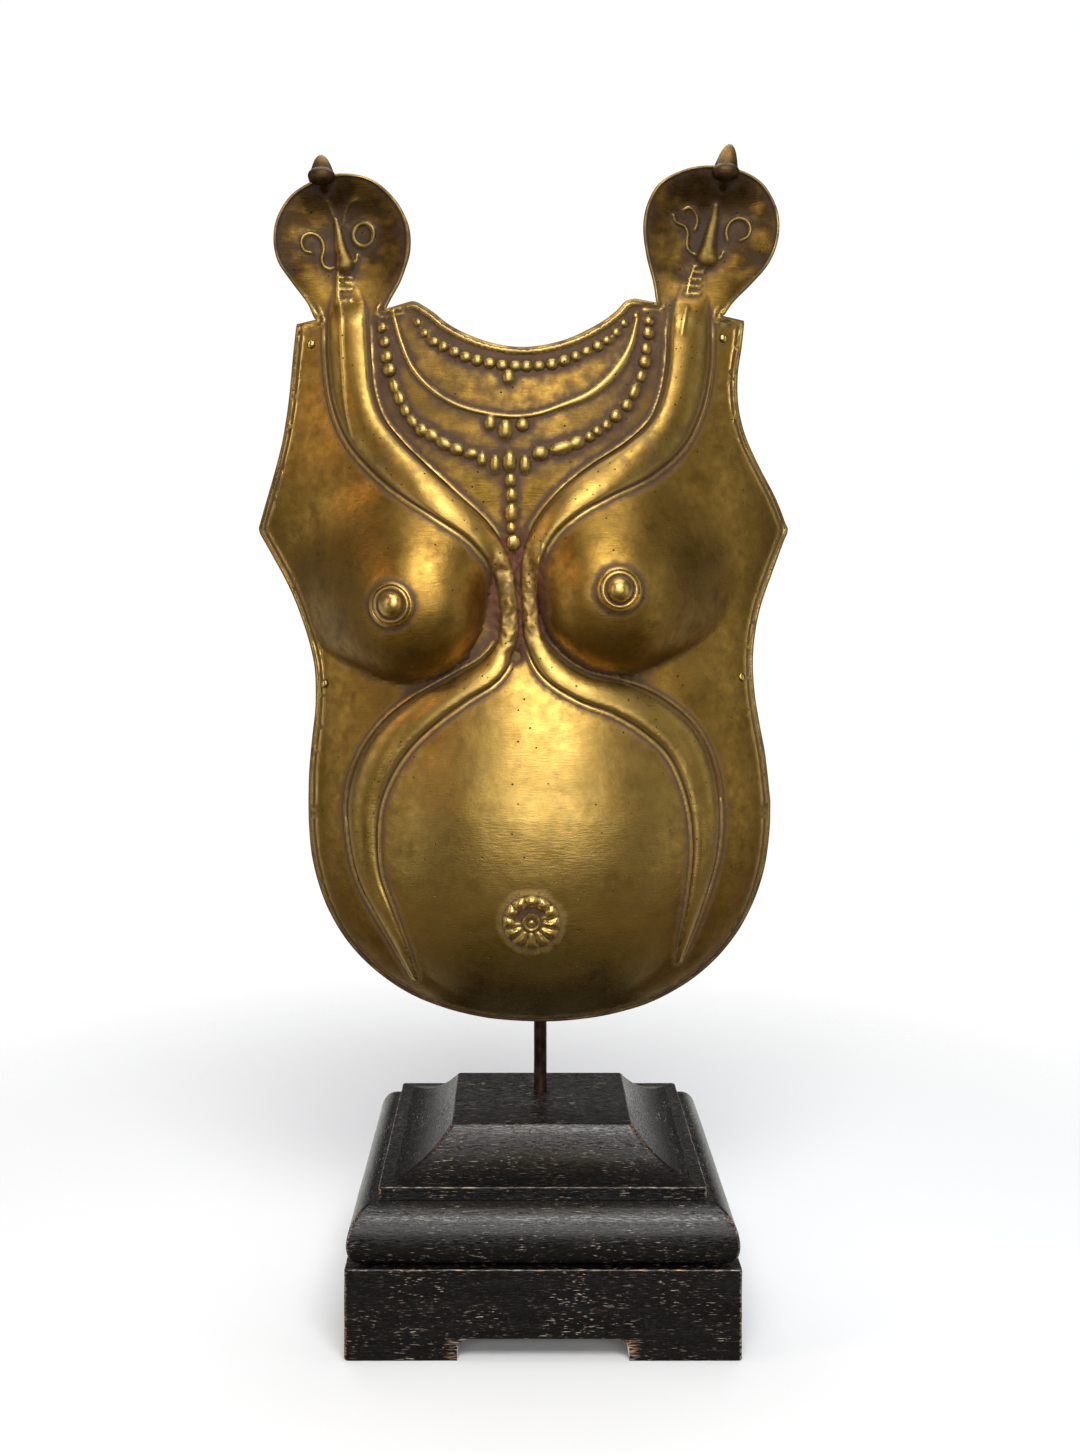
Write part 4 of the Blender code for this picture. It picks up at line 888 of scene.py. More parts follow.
NOSES = [
    table("across up half", [(-0.687, 1.128, 0.0018), (-0.677, 1.109, 0.0031),
                             (-0.671, 1.092, 0.0043), (-0.660, 1.076, 0.0057),
                             (-0.655, 1.068, 0.0070)]),
    table("across up half", [(0.698, 1.146, 0.0023), (0.690, 1.124, 0.0037),
                             (0.680, 1.106, 0.0048), (0.672, 1.088, 0.0062),
                             (0.668, 1.077, 0.0078)]),
]
THROATS = [
    table("across up half", [(-0.729, 1.182, 0.0062), (-0.726, 1.174, 0.0050),
                             (-0.722, 1.166, 0.0034), (-0.718, 1.160, 0.0014)]),
    table("across up half", [(0.723, 1.187, 0.0062), (0.722, 1.178, 0.0050),
                             (0.719, 1.170, 0.0034), (0.716, 1.163, 0.0014)]),
]


def face_depth(x, z):
    """Nose, eye ring, curl and ladder on each hood."""
    total = np.zeros(np.shape(x))
    for centre in EYES:
        spot = place(*centre)
        away = np.hypot(x - spot[0], (z - spot[1]) * 0.92)
        total = total + 0.0013 * dome((away - EYE_RADIUS) / EYE_RING)
        total = total - 0.0006 * dome(away / (0.72 * EYE_RADIUS))
    for index, points in enumerate(FACE_LINES):
        tall = FAINT_LINES.get(index, LINE_HEIGHT)
        away, _ = nearest(x, z, route(points, 0.0012))
        total = np.maximum(total, tall * dome(away / FACE_LINE) ** 1.3)
    for rows in LADDERS:
        for left, right, up in rows:
            away, _ = nearest(x, z, np.column_stack(place((left, right), (up, up))))
            total = np.maximum(total, LINE_HEIGHT * dome(away / (0.7 * FACE_LINE)))
    for rows in NOSES:
        away, along, half = beside(x, z, swelling(rows, 0.001))
        rise = BROW_RISE + (TIP_RISE - BROW_RISE) * along
        total = np.maximum(total, rise * dome(away / half) ** 1.5)
    for rows in THROATS:
        away, along, half = beside(x, z, swelling(rows, 0.001))
        total = np.maximum(total, THROAT_RISE * (1.0 - along) * dome(away / half))
    return total


print("face lines:", len(FACE_LINES))

# %% [markdown]
# ## Rim and surface
# The plate's edge is a rounded bead, thicker along the neckline. A second thin line runs inside
# it round the torso. The hollow between the breasts was left rough, and the whole sheet is
# slightly uneven, which is what makes the reflections on the belly waver.

# %% Rim and surface
RIM_BEAD = 0.0013
RIM_LINE_INSET = 0.0052
RIM_DITCH_INSET = 0.0034
DENTS = 0.00035
RIPPLES = 0.00010
CRUMBLE = 0.0015
NOTCH_DEPTH = 0.0045
NOTCH_SPREAD = 0.0042


def rim_depth(x, z, away):
    """The edge bead and the thin line inside it."""
    up = height_share(z)
    across = np.abs(x) / HALF_WIDTH
    neck = ramp(up, 0.90, 0.93) * (1.0 - ramp(across, 0.42, 0.44))
    hood = ramp(up, 1.0, 1.012) * ramp(across, 0.40, 0.43)
    bead = RIM_BEAD * (1.0 + 0.5 * neck - 0.35 * hood)
    edge = bead * dome((away - bead) / bead)
    line = 0.0008 * dome((away - RIM_LINE_INSET) / 0.0009)
    ditch = 0.0004 * dome((away - RIM_DITCH_INSET) / 0.0008)
    return edge + (line - ditch) * (1.0 - neck) * (1.0 - hood)


def wavering(x, z):
    """The casting's unevenness, and the crumbled metal of the sternum."""
    rough = sternum_share(x, z)
    total = np.zeros(len(x))
    for i, (px, pz, crumbled) in enumerate(zip(x.tolist(), z.tolist(), rough.tolist())):
        total[i] = DENTS * noise.noise((px / 0.035, pz / 0.028, 1.7))
        total[i] += RIPPLES * noise.noise((px / 0.009, pz / 0.009, 4.2))
        if crumbled > 0.01:
            total[i] += crumbled * CRUMBLE * noise.fractal((px / 0.0040, pz / 0.0055, 9.1), 0.6, 2.1, 5)
    return total


def relief_depth(x, z):
    """All the raised ornament on the smooth plate, with the dent where the cobras part."""
    bodies, _ = snake_depth(x, z)
    crease = place(-0.030, 0.519)
    notch = NOTCH_DEPTH * np.exp(-((x - crease[0]) ** 2 + (z - crease[1]) ** 2) / NOTCH_SPREAD**2)
    return (bodies + necklace_depth(x, z) + nipple_depth(x, z) + rosette_depth(x, z)
            + face_depth(x, z) - notch)


print("rim bead is", RIM_BEAD * 2000, "mm wide")

# %% [markdown]
# ## Points for the sheet
# A height field needs its points where the relief is. Rows of points run along every snake,
# border and wire, rings go round every bead, and even nets fill in between: fine ones over the
# ornament and a wide one over the plain fields. Each new point keeps its distance from the ones
# before it, and one triangulation joins them all within the outline.

# %% Point sets
def ring(centre, radius, step):
    """Points round a circle, about one step apart and no fewer than ten."""
    count = max(10, round(2 * math.pi * radius / step))
    turn = np.arange(count) * 2 * math.pi / count
    return np.column_stack([centre[0] + radius * np.cos(turn), centre[1] + radius * np.sin(turn)])


def rows_along(path, offsets):
    """Rows of points beside a path. Each offset is one distance, or one for each point."""
    heading = np.gradient(path, axis=0)
    heading = heading / np.hypot(*heading.T)[:, None]
    aside = np.column_stack([-heading[:, 1], heading[:, 0]])
    return [path + aside * np.broadcast_to(offset, len(path))[:, None] for offset in offsets]


def honeycomb(low, high, step):
    """An even triangular net of points over a box."""
    points = []
    for row, z in enumerate(np.arange(low[1], high[1], step * math.sqrt(0.75))):
        across = np.arange(low[0] + 0.5 * step * (row % 2), high[0], step)
        points.append(np.column_stack([across, np.full(len(across), z)]))
    return np.concatenate(points)


def relief_points():
    """Rows and rings that follow the ornament's own lines."""
    points = []
    for path in snake_paths(0.0016):
        line, half = path[:, :2], path[:, 2]
        offsets = [0.0 * half]
        for side in (-1.0, 1.0):
            for share in (0.30, 0.55, 0.74, 0.855, 0.88):
                offsets.append(side * share * half)
            for step in (-1.05, -0.6, 0.0, 0.6, 1.05, 1.9, 2.8):
                offsets.append(side * (half + step * BORDER_HALF))
        points.extend(rows_along(line, offsets))
    wire = route(COLLAR_WIRE, 0.0014)
    points.extend(rows_along(wire, [k * WIRE_RADIUS for k in (0.0, -0.7, 0.7, -1.2, 1.2, -1.9, 1.9)]))
    for spot, _, length, width in beads:
        points.append(spot[None, :])
        for share in (0.45, 0.75, 0.95, 1.08):
            points.append(ring(spot, share * 0.5 * (length + width), 0.0011))
    for across, up in zip(BREASTS["tip_across"], BREASTS["tip_up"]):
        tip = place(across, up)
        for radius in np.concatenate([np.arange(0.0012, 0.0150, 0.0007), [0.0077, 0.0079]]):
            points.append(ring(tip, radius, 0.0012))
    for radius in np.arange(0.0009, 0.0192, 0.0007):
        points.append(ring(place(*NAVEL), radius, 0.0008))
    for spot in EYES:
        for radius in (0.0048, 0.0053, 0.0059, 0.0066, 0.0073, 0.0079, 0.0084):
            points.append(ring(place(*spot), radius, 0.0009))
    for line in FACE_LINES:
        points.extend(rows_along(route(line, 0.0009), [k * FACE_LINE for k in (0.0, -0.6, 0.6, -1, 1)]))
    return np.concatenate(points)


placed = relief_points()
print("points along the ornament:", len(placed))

# %% Nets between them
def inside(points, loop):
    """Which points lie within a closed loop."""
    x, z = points[:, 0], points[:, 1]
    odd = np.zeros(len(points), dtype=bool)
    for (ax, az), (bx, bz) in zip(loop, np.roll(loop, -1, axis=0)):
        crosses = (az > z) != (bz > z)
        rise = bz - az if bz != az else 1.0
        odd ^= crosses & (x < (bx - ax) * (z - az) / rise + ax)
    return odd


def thinned(points, kept, apart):
    """The points that lie at least a distance from those already kept, and from each other."""
    cells = {}
    for x, z in kept.tolist():
        cells.setdefault((int(x // apart), int(z // apart)), []).append((x, z))
    fresh = []
    for x, z in points.tolist():
        column, row = int(x // apart), int(z // apart)
        close = False
        for i in (column - 1, column, column + 1):
            for j in (row - 1, row, row + 1):
                for a, b in cells.get((i, j), ()):
                    if (x - a) ** 2 + (z - b) ** 2 < apart * apart:
                        close = True
        if not close:
            cells.setdefault((column, row), []).append((x, z))
            fresh.append((x, z))
    return np.array(fresh).reshape(-1, 2)


def busy(points):
    """Which points lie near ornament or a steep slope, where a finer net is needed."""
    x, z = points[:, 0], points[:, 1]
    near = np.zeros(len(points), dtype=bool)
    for path in snake_paths(0.008):
        away, _, half = beside(x, z, path)
        near |= away < half + 0.004
    up = height_share(z)
    near |= (up > 0.76) & (np.abs(x) < 0.54 * HALF_WIDTH)
    near |= up > 0.985
    near |= sternum_share(x, z) > 0.0
    return near


low, high = edge_loop.min(axis=0), edge_loop.max(axis=0)
hood_net = honeycomb((low[0], place(0.0, 1.0)[1]), high, 0.00105)
fine_net = honeycomb(low, high, 0.0017)
fine_net = fine_net[busy(fine_net)]
wide_net = honeycomb(low, high, 0.0026)
rim_rows = rows_along(rim_path[:-1], [0.0013, 0.0022, 0.0034, 0.0043, 0.0052, 0.0061, 0.0072])
print("nets:", len(hood_net), len(fine_net), len(wide_net))

# %% [markdown]
# ## Front and back sheets
# The front carries all the relief. The back is the wall's thickness behind it and only follows
# the large forms, as the inside of a casting does. The two are joined round the outline.

# %% Sheets
def sheet(loop, groups, margin):
    """Triangles over the outline, through groups of points that each keep their distance."""
    closed = np.vstack([loop, loop[:1]])
    points = loop
    for group, apart in groups:
        group = group[inside(group, loop)]
        group = group[nearest(group[:, 0], group[:, 1], closed[::2])[0] > margin]
        points = np.vstack([points, thinned(group, points, apart)])
    flat = [Vector(point) for point in points.tolist()]
    found = delaunay_2d_cdt(flat, [], [list(range(len(loop)))], 1, 1e-7)
    rim = {old: new for new, olds in enumerate(found[3]) for old in olds if old < len(loop)}
    points = np.array([tuple(point) for point in found[0]])
    return points, np.array(found[2]), np.array([rim[i] for i in range(len(loop))])


def front_depth(x, z):
    """The plate's front with all its relief."""
    away, _ = nearest(x, z, rim_path)
    fade = ramp(away, 0.0, 0.005)
    fine = wavering(x, z) * fade + rim_depth(x, z, away)
    return smooth_depth(x, z) + fine + fade * relief_depth(x, z)


def back_depth(x, z):
    """The plate's hollow back, one wall behind the front, measured square to the sheet."""
    tiny = 0.0005
    tilt = np.hypot(smooth_depth(x + tiny, z) - smooth_depth(x - tiny, z),
                    smooth_depth(x, z + tiny) - smooth_depth(x, z - tiny)) / (2 * tiny)
    away, _ = nearest(x, z, rim_path)
    bodies, _ = snake_depth(x, z)
    wall = WALL * np.minimum(np.sqrt(1.0 + tilt**2), 2.0)
    return smooth_depth(x, z) + 0.6 * ramp(away, 0.0, 0.008) * bodies - wall


front_points, front_faces, front_rim = sheet(edge_loop, [
    (placed, 0.00050), (np.concatenate(rim_rows), 0.0006), (hood_net, 0.00085), (fine_net, 0.00120),
    (wide_net, 0.0019)], 0.0009)
front_y = -front_depth(*front_points.T)
back_points, back_faces, back_rim = sheet(edge_loop, [(honeycomb(low, high, 0.0042), 0.0025)], 0.0015)
back_y = -back_depth(*back_points.T)
print("front:", len(front_faces), "triangles, back:", len(back_faces))

# %% [markdown]
# ## Where the metal is sheltered or rubbed
# A polishing cloth rides over the high spots and never reaches the corners. Comparing the relief
# with a blurred copy of itself tells the two apart: a spot below its blurred surroundings is
# sheltered, and one above them is rubbed. It is measured on an even grid, then read at each point.

# %% Sheltered and rubbed
GRID = 0.0009
GRID_MARGIN = 0.02
grid_x = np.arange(low[0] - GRID_MARGIN, high[0] + GRID_MARGIN, GRID)
grid_z = np.arange(low[1] - GRID_MARGIN, high[1] + GRID_MARGIN, GRID)
mesh_x, mesh_z = (axis.ravel() for axis in np.meshgrid(grid_x, grid_z))
grid_smooth = smooth_depth(mesh_x, mesh_z)
grid_away, _ = nearest(mesh_x, mesh_z, rim_path)
grid_fine = relief_depth(mesh_x, mesh_z) + rim_depth(mesh_x, mesh_z, grid_away)
fine = grid_fine.reshape(len(grid_z), len(grid_x))
grid_depth = grid_smooth.reshape(fine.shape) + fine


def blurred(heights, spread):
    """A Gaussian blur of a grid, through its Fourier transform."""
    fz = np.fft.fftfreq(heights.shape[0], GRID)[:, None]
    fx = np.fft.rfftfreq(heights.shape[1], GRID)[None, :]
    soft = np.exp(-2.0 * (math.pi * spread) ** 2 * (fz**2 + fx**2))
    return np.fft.irfft2(np.fft.rfft2(heights) * soft, heights.shape)


def read_grid(values, x, z):
    """A grid's value at each point, between its four nearest squares."""
    column = (x - grid_x[0]) / GRID
    row = (z - grid_z[0]) / GRID
    i, j = row.astype(int), column.astype(int)
    s, t = row - i, column - j
    return (values[i, j] * (1 - s) * (1 - t) + values[i + 1, j] * s * (1 - t)
            + values[i, j + 1] * (1 - s) * t + values[i + 1, j + 1] * s * t)


close_by = blurred(fine, 0.0012) - fine
around = blurred(fine, 0.0040) - fine
large = blurred(grid_depth, 0.0070) - grid_depth
sheltered_grid = (0.65 * np.clip(close_by / 0.00030, 0.0, 1.0)
                  + 0.75 * np.clip(around / 0.00080, 0.0, 1.0)
                  + 0.50 * ramp(large, 0.0012, 0.0040))
rubbed_grid = (0.65 * np.clip(-close_by / 0.00025, 0.0, 1.0)
               + 0.25 * np.clip(-around / 0.0025, 0.0, 1.0))
print("sheltered share:", round(float((sheltered_grid > 0.5).mean()), 3))

# %% [markdown]
# ## Heads and crests
# At the top of each hood a round head leans over the edge, with a pointed leaf of brass standing
# behind it. They are full round forms with undercuts, which a height field can't hold, so each is
# a turned shape that is sunk into the hood.

# %% Heads and crests
HEAD_RADIUS = 0.0064
HEAD_STRETCH = (1.36, 1.0, 0.92)
CREST_HEIGHT = 0.0212
CREST_RADIUS = 0.0087
CREST_POWER = 0.45
CREST_LEAN = 2.4
CREST_FOOT = 0.002


def taken_in(bm, other):
    """Adds another working mesh to this one."""
    mesh = drawn_from(other, "part")
    bm.from_mesh(mesh)
    bpy.data.meshes.remove(mesh)


def turned(profile, centre, axis, sides=32):
    """A closed turned solid: a profile of (radius, height) rows round an axis."""
    bm = bmesh.new()
    rings = []
    for radius, height in profile:
        count = sides if radius > 0.0 else 1
        rings.append([bm.verts.new((radius * math.cos(2 * math.pi * i / count),
                                    radius * math.sin(2 * math.pi * i / count), height))
                      for i in range(count)])
    for below, above in zip(rings[:-1], rings[1:]):
        for i in range(sides):
            j = (i + 1) % sides
            corners = [below[i % len(below)], below[j % len(below)], above[j % len(above)],
                       above[i % len(above)]]
            bm.faces.new(list(dict.fromkeys(corners)))
    turn = Vector(axis).to_track_quat("Z", "Y").to_matrix().to_4x4()
    bmesh.ops.transform(bm, matrix=Matrix.Translation(centre) @ turn, verts=bm.verts)
    return bm


def cobra_head(index):
    """A ball with a flat brow, and the leaf-shaped crest behind it."""
    x, z = (float(v) for v in place(HOODS["head_across"][index], HOODS["head_up"][index]))
    seat = -float(hood_depth(np.array(x), np.array(z)))
    lean = CREST_LEAN * float(HOODS["crown"][index] - HOODS["foot"][index])
    bm = bmesh.new()
    bmesh.ops.create_uvsphere(bm, u_segments=32, v_segments=20, radius=HEAD_RADIUS)
    bmesh.ops.scale(bm, vec=HEAD_STRETCH, verts=bm.verts)
    bmesh.ops.translate(bm, vec=(x, seat - 0.25 * HEAD_RADIUS, z), verts=bm.verts)
    tall = CREST_HEIGHT * float(HOODS["crest"][index])
    profile = [(0.0, -CREST_FOOT), (0.5 * CREST_RADIUS, -CREST_FOOT),
               (0.9 * CREST_RADIUS, -0.4 * CREST_FOOT)]
    for share in np.linspace(0.0, 0.98, 14):
        profile.append((CREST_RADIUS * (1.0 - share) ** CREST_POWER, tall * share))
    profile.append((0.0, tall))
    base = Vector((x, seat + 0.40 * HEAD_RADIUS, z - 0.2 * HEAD_RADIUS))
    taken_in(bm, turned(profile, base, (lean, 0.10, 1.0)))
    return bm


print("crests are", [round(CREST_HEIGHT * share * 1000, 1) for share in HOODS["crest"].tolist()], "mm")

# %% [markdown]
# ## The rolled edge
# The casting's edge is a round bead that stands out from the sheet. Under the belly it sits a
# little further in, and there it is painted a darker brown, with a painted shadow line just
# inside it. It is swept round the outline as a tube, thicker along the neckline, and its size
# wanders as hand-filed work does.

# %% Rolled edge
RIM_RADIUS = 0.0014
RIM_INSET = 0.0008
HIP_INSET = 0.0026
rim_turns = np.arange(8) * 2 * math.pi / 8


def rolled_edge(loop):
    """Points and faces of a tube along the outline."""
    heading = np.roll(loop, -1, axis=0) - np.roll(loop, 1, axis=0)
    heading = heading / np.hypot(*heading.T)[:, None]
    inward = np.column_stack([-heading[:, 1], heading[:, 0]])
    up = height_share(loop[:, 1])
    neck = ramp(up, 0.92, 0.96) * (1.0 - ramp(np.abs(loop[:, 0]) / HALF_WIDTH, 0.40, 0.44))
    hood = ramp(up, 1.0, 1.012) * (1.0 - neck)
    filed = np.array([noise.noise((a / 0.02, b / 0.02, 5.5)) for a, b in loop.tolist()])
    radius = RIM_RADIUS * (1.0 + 0.35 * neck - 0.30 * hood + 0.18 * filed)
    inset = RIM_INSET + (HIP_INSET - RIM_INSET) * (1.0 - ramp(up, 0.02, 0.25))
    seat = loop + inward * inset[:, None]
    y = -smooth_depth(*seat.T)
    rows = []
    for turn in rim_turns:
        flat = seat + inward * (radius * math.cos(turn))[:, None]
        rows.append(np.column_stack([flat[:, 0], y + radius * math.sin(turn), flat[:, 1]]))
    index = np.arange(len(loop) * len(rim_turns)).reshape(len(loop), -1)
    after = np.roll(index, -1, axis=0)
    quads = np.stack([index, np.roll(index, -1, axis=1), np.roll(after, -1, axis=1), after], axis=2)
    return np.stack(rows, axis=1).reshape(-1, 3), quads.reshape(-1, 4)


rim_points, rim_faces = rolled_edge(edge_loop)
print("rolled edge:", len(rim_faces), "faces")

# %% Join the plate
def kept(mesh, name, values):
    """Keeps one number for each point of a mesh, for its material."""
    layer = mesh.attributes.new(name, "FLOAT", "POINT")
    layer.data.foreach_set("value", np.asarray(values, dtype=np.float32))


def finished(name, mesh, material, node):
    """A piece that takes the place of a solid and rides on the frame."""
    mesh.materials.append(material)
    piece = bpy.data.objects.new(name, mesh)
    scene.collection.objects.link(piece)
    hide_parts(node)
    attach(piece, "root")


corners = np.vstack([np.column_stack([front_points[:, 0], front_y, front_points[:, 1]]),
                     np.column_stack([back_points[:, 0], back_y, back_points[:, 1]])])
behind = len(front_points)
back_rim = back_rim + behind
wall = np.column_stack([front_rim, np.roll(front_rim, -1), np.roll(back_rim, -1), back_rim])
faces = front_faces.tolist() + (back_faces[:, ::-1] + behind).tolist() + wall[:, ::-1].tolist()
faces += (rim_faces + len(corners)).tolist()
shell = bpy.data.meshes.new("shell")
shell.from_pydata(corners.tolist() + rim_points.tolist(), [], faces)
bm = bmesh.new()
bm.from_mesh(shell)
bpy.data.meshes.remove(shell)
for index in (0, 1):
    taken_in(bm, cobra_head(index))
bmesh.ops.recalc_face_normals(bm, faces=bm.faces)
plate_mesh = drawn_from(bm, "breastplate_casting")
plate_mesh.shade_smooth()
plate_mesh.set_sharp_from_angle(angle=math.radians(62.0))
print("plate:", len(plate_mesh.polygons), "faces")

# %% What the plate's points keep
CHEST_GRIME_AND_SHADE = 0.30
HOOD_TARNISH = 0.92
POLISH_AND_SHEEN = 0.32
spots = np.empty(len(plate_mesh.vertices) * 3, np.float32)
plate_mesh.vertices.foreach_get("co", spots)
spots = spots.reshape(-1, 3)
x = np.clip(spots[:, 0], grid_x[0], grid_x[-2] - GRID)
z = np.clip(spots[:, 2], grid_z[0], grid_z[-2] - GRID)
is_front = np.zeros(len(spots))
is_front[:behind] = 1.0
is_rim = np.zeros(len(spots))
is_rim[len(corners):len(corners) + len(rim_points)] = 1.0
is_head = np.zeros(len(spots))
is_head[len(corners) + len(rim_points):] = 1.0
up = height_share(z)
across = np.abs(x) / HALF_WIDTH
patchy = np.array([noise.fractal((px / 0.016, pz / 0.011, 3.3), 0.8, 2.0, 3)
                   for px, pz in zip(x.tolist(), z.tolist())])
on_hood = ramp(up, 1.01, 1.07)
on_chest = ramp(up, 0.70, 0.79) * (1.0 - ramp(across, 0.48, 0.66)) * (1.0 - on_hood)
crumbled = sternum_share(x, z)
raised = read_grid(rubbed_grid, x, z)
hips = 1.0 - ramp(up, 0.10, 0.30)
# Painted shade: a dark line just inside the rolled edge round the hips, where a groove's shadow falls.
groove_shade = dome((nearest(x, z, rim_path)[0] - RIM_LINE_INSET) / 0.0014) * hips
# Crust on the chest, hoods and sternum. On the chest it is partly real grime and partly painted shade,
# and the chest's share of the tarnish below is painted shade too.
grime_and_shade = (CHEST_GRIME_AND_SHADE * on_chest + 0.28 * on_hood + 0.55 * crumbled) * (1.0 + 0.55 * patchy)
tarnish = (0.36 * on_chest + HOOD_TARNISH * on_hood + 0.45 * crumbled) * (1.0 + 0.6 * patchy)
# Painted shadow: the hollow under each head is painted dark brown.
for across_at, up_at in zip(HOODS["head_across"], HOODS["head_up"]):
    spot = place(across_at, up_at - 0.012)
    tarnish = tarnish + 0.9 * np.exp(-(((x - spot[0]) / 0.012) ** 2 + ((z - spot[1]) / 0.015) ** 2))
shade_share = (read_grid(sheltered_grid, x, z) + grime_and_shade + 0.7 * groove_shade) * (1.0 - 0.55 * raised)
is_back = 1.0 - is_front - is_head - is_rim
# The rolled edge is painted a darker brown, most towards the hips.
kept(plate_mesh, "sheltered", np.clip(shade_share * is_front + 0.55 * is_back + 0.45 * is_head
                                      + (0.50 + 0.3 * hips + 0.4 * patchy) * is_rim, 0.0, 1.0))
kept(plate_mesh, "tarnish", np.clip((tarnish + 0.5 * groove_shade) * is_front + 0.5 * is_back
                                    + 0.95 * is_head * (1.0 - 0.7 * ramp(up, 1.196, 1.208))
                                    + 0.5 * is_rim, 0.0, 1.0))
# Partly real polish, partly painted sheen: the belly and the middle of the hips are painted a paler
# gold, standing in for the broad highlight and the reflection low on the belly.
polish_and_sheen = POLISH_AND_SHEEN * (belly_depth(x, z) / BELLY_RISE) ** 0.7 * (1.0 + 0.4 * patchy)
polish_and_sheen = polish_and_sheen + 0.25 * hips * (1.0 - ramp(across, 0.35, 0.55))
specks = crumbled * np.clip(3.0 * (patchy - 0.25), 0.0, 0.8)
bright = (raised * (0.86 - 0.34 * on_chest - 0.62 * on_hood) + polish_and_sheen + specks) * is_front
bright[is_rim > 0.0] = np.tile(0.30 * np.clip(-np.sin(rim_turns), 0.0, 1.0), len(edge_loop))
kept(plate_mesh, "rubbed", np.clip(bright, 0.0, 1.0))
kept(plate_mesh, "burnt", crumbled * is_front)
kept(plate_mesh, "pitted", snake_depth(x, z)[1] * 0.30 * is_front)
finished("breastplate_casting", plate_mesh, cast_brass, "breastplate")
print("points:", len(spots))

# %% [markdown]
# ## Rivets
# Four round-headed rivets once held straps: two at the shoulders and two at the waist. Each is a
# turned pin with a domed head, a little flattened by the hammer.

# %% Rivets
RIVET_HEAD_RADIUS = 0.0029
RIVET_HEAD_RISE = 0.0016
RIVET_SHANK_RADIUS = 0.0011
RIVETS = {
    "shoulder_rivet_left": (-0.783, 0.957),
    "shoulder_rivet_right": (0.733, 0.966),
    "waist_rivet_left": (-0.732, 0.477),
    "waist_rivet_right": (0.800, 0.486),
}
for name, spot in RIVETS.items():
    x, z = place(*spot)
    tiny = 0.001
    slopes = [float(smooth_depth(x + dx, z + dz) - smooth_depth(x - dx, z - dz)) / (2 * tiny)
              for dx, dz in ((tiny, 0.0), (0.0, tiny))]
    normal = Vector((-slopes[0], -1.0, -slopes[1])).normalized()
    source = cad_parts[name].data.vertices
    middle = sum((v.co for v in source), Vector()) / len(source)
    reach = [(v.co - middle).dot(normal) for v in source]
    top, bottom = max(reach), min(reach)
    seat = top - RIVET_HEAD_RISE
    profile = [(0.0, bottom), (0.7 * RIVET_HEAD_RADIUS, bottom),
               (0.8 * RIVET_HEAD_RADIUS, bottom + 0.0003), (0.8 * RIVET_HEAD_RADIUS, bottom + 0.0006),
               (RIVET_SHANK_RADIUS, bottom + 0.0006), (RIVET_SHANK_RADIUS, seat),
               (0.97 * RIVET_HEAD_RADIUS, seat)]
    for share in (0.15, 0.35, 0.55, 0.72, 0.85, 0.94, 0.985):
        profile.append((RIVET_HEAD_RADIUS * math.sqrt(1 - share**2), seat + RIVET_HEAD_RISE * share))
    profile.append((0.0, top))
    bm = turned(profile, middle, normal)
    bmesh.ops.recalc_face_normals(bm, faces=bm.faces)
    mesh = drawn_from(bm, name + "_pin")
    mesh.shade_smooth()
    mesh.set_sharp_from_angle(angle=math.radians(50.0))
    heights = np.array([(v.co - middle).dot(normal) for v in mesh.vertices])
    kept(mesh, "rubbed", ramp(heights, seat + 0.0004, top))
    kept(mesh, "sheltered", 0.8 * (1.0 - ramp(heights, seat, seat + 0.0006)))
    for unused in ("burnt", "pitted", "tarnish"):
        kept(mesh, unused, np.zeros(len(heights)))
    finished(name + "_pin", mesh, rivet_brass, name)
print("rivets:", len(RIVETS))

# %% [markdown]
# ## Rod and fixing
# The photograph shows only the rod between the rim and the pedestal. Behind the plate it carries a
# plain crossbar with two pads that bear on the hollow back. It is drawn bar stock, so its ends have
# a small chamfer and its surface is even.

# %% Rod and fixing
PEDESTAL_TOP = 0.115
ROD_RADIUS = 0.00425
ROD_SETBACK = 0.015
ROD_OFFSET = 0.0108
BAR_RADIUS = 0.0035
BAR_HALF = 0.560
PADS = (-0.500, 0.560)
PAD_RADIUS = 0.007
PAD_THICKNESS = 0.003
CHAMFER = 0.0006
post_low, post_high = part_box("stand_post")
bar_height = float(place(0.0, 0.5)[1])


def bar_profile(radius, start, end):
    """A round bar with chamfered ends."""
    return [(0.0, start), (radius - CHAMFER, start), (radius, start + CHAMFER),
            (radius, end - CHAMFER), (radius - CHAMFER, end), (0.0, end)]


bm = turned(bar_profile(ROD_RADIUS, 0.0, post_high.z - post_low.z),
            Vector((ROD_OFFSET, ROD_SETBACK, post_low.z)), (0, 0, 1), 40)
half_bar = BAR_HALF * HALF_WIDTH
taken_in(bm, turned(bar_profile(BAR_RADIUS, -half_bar, half_bar),
                    Vector((ROD_OFFSET, ROD_SETBACK, bar_height)), (1, 0, 0)))
for across in PADS:
    x = across * HALF_WIDTH
    near = [v.co.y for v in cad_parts["stand_post"].data.vertices
            if abs(v.co.x - x) < 1.1 * PAD_RADIUS]
    length = ROD_SETBACK - min(near)
    neck = length - PAD_THICKNESS
    profile = [(0.0, 0.0), (BAR_RADIUS, 0.0), (BAR_RADIUS, neck), (PAD_RADIUS - CHAMFER, neck),
               (PAD_RADIUS, neck + CHAMFER), (PAD_RADIUS, length - CHAMFER),
               (PAD_RADIUS - CHAMFER, length), (0.0, length)]
    taken_in(bm, turned(profile, Vector((x, ROD_SETBACK, bar_height)), (0, -1, 0)))
bmesh.ops.recalc_face_normals(bm, faces=bm.faces)
post = drawn_from(bm, "rod_and_crossbar")
post.shade_smooth()
post.set_sharp_from_angle(angle=math.radians(40.0))
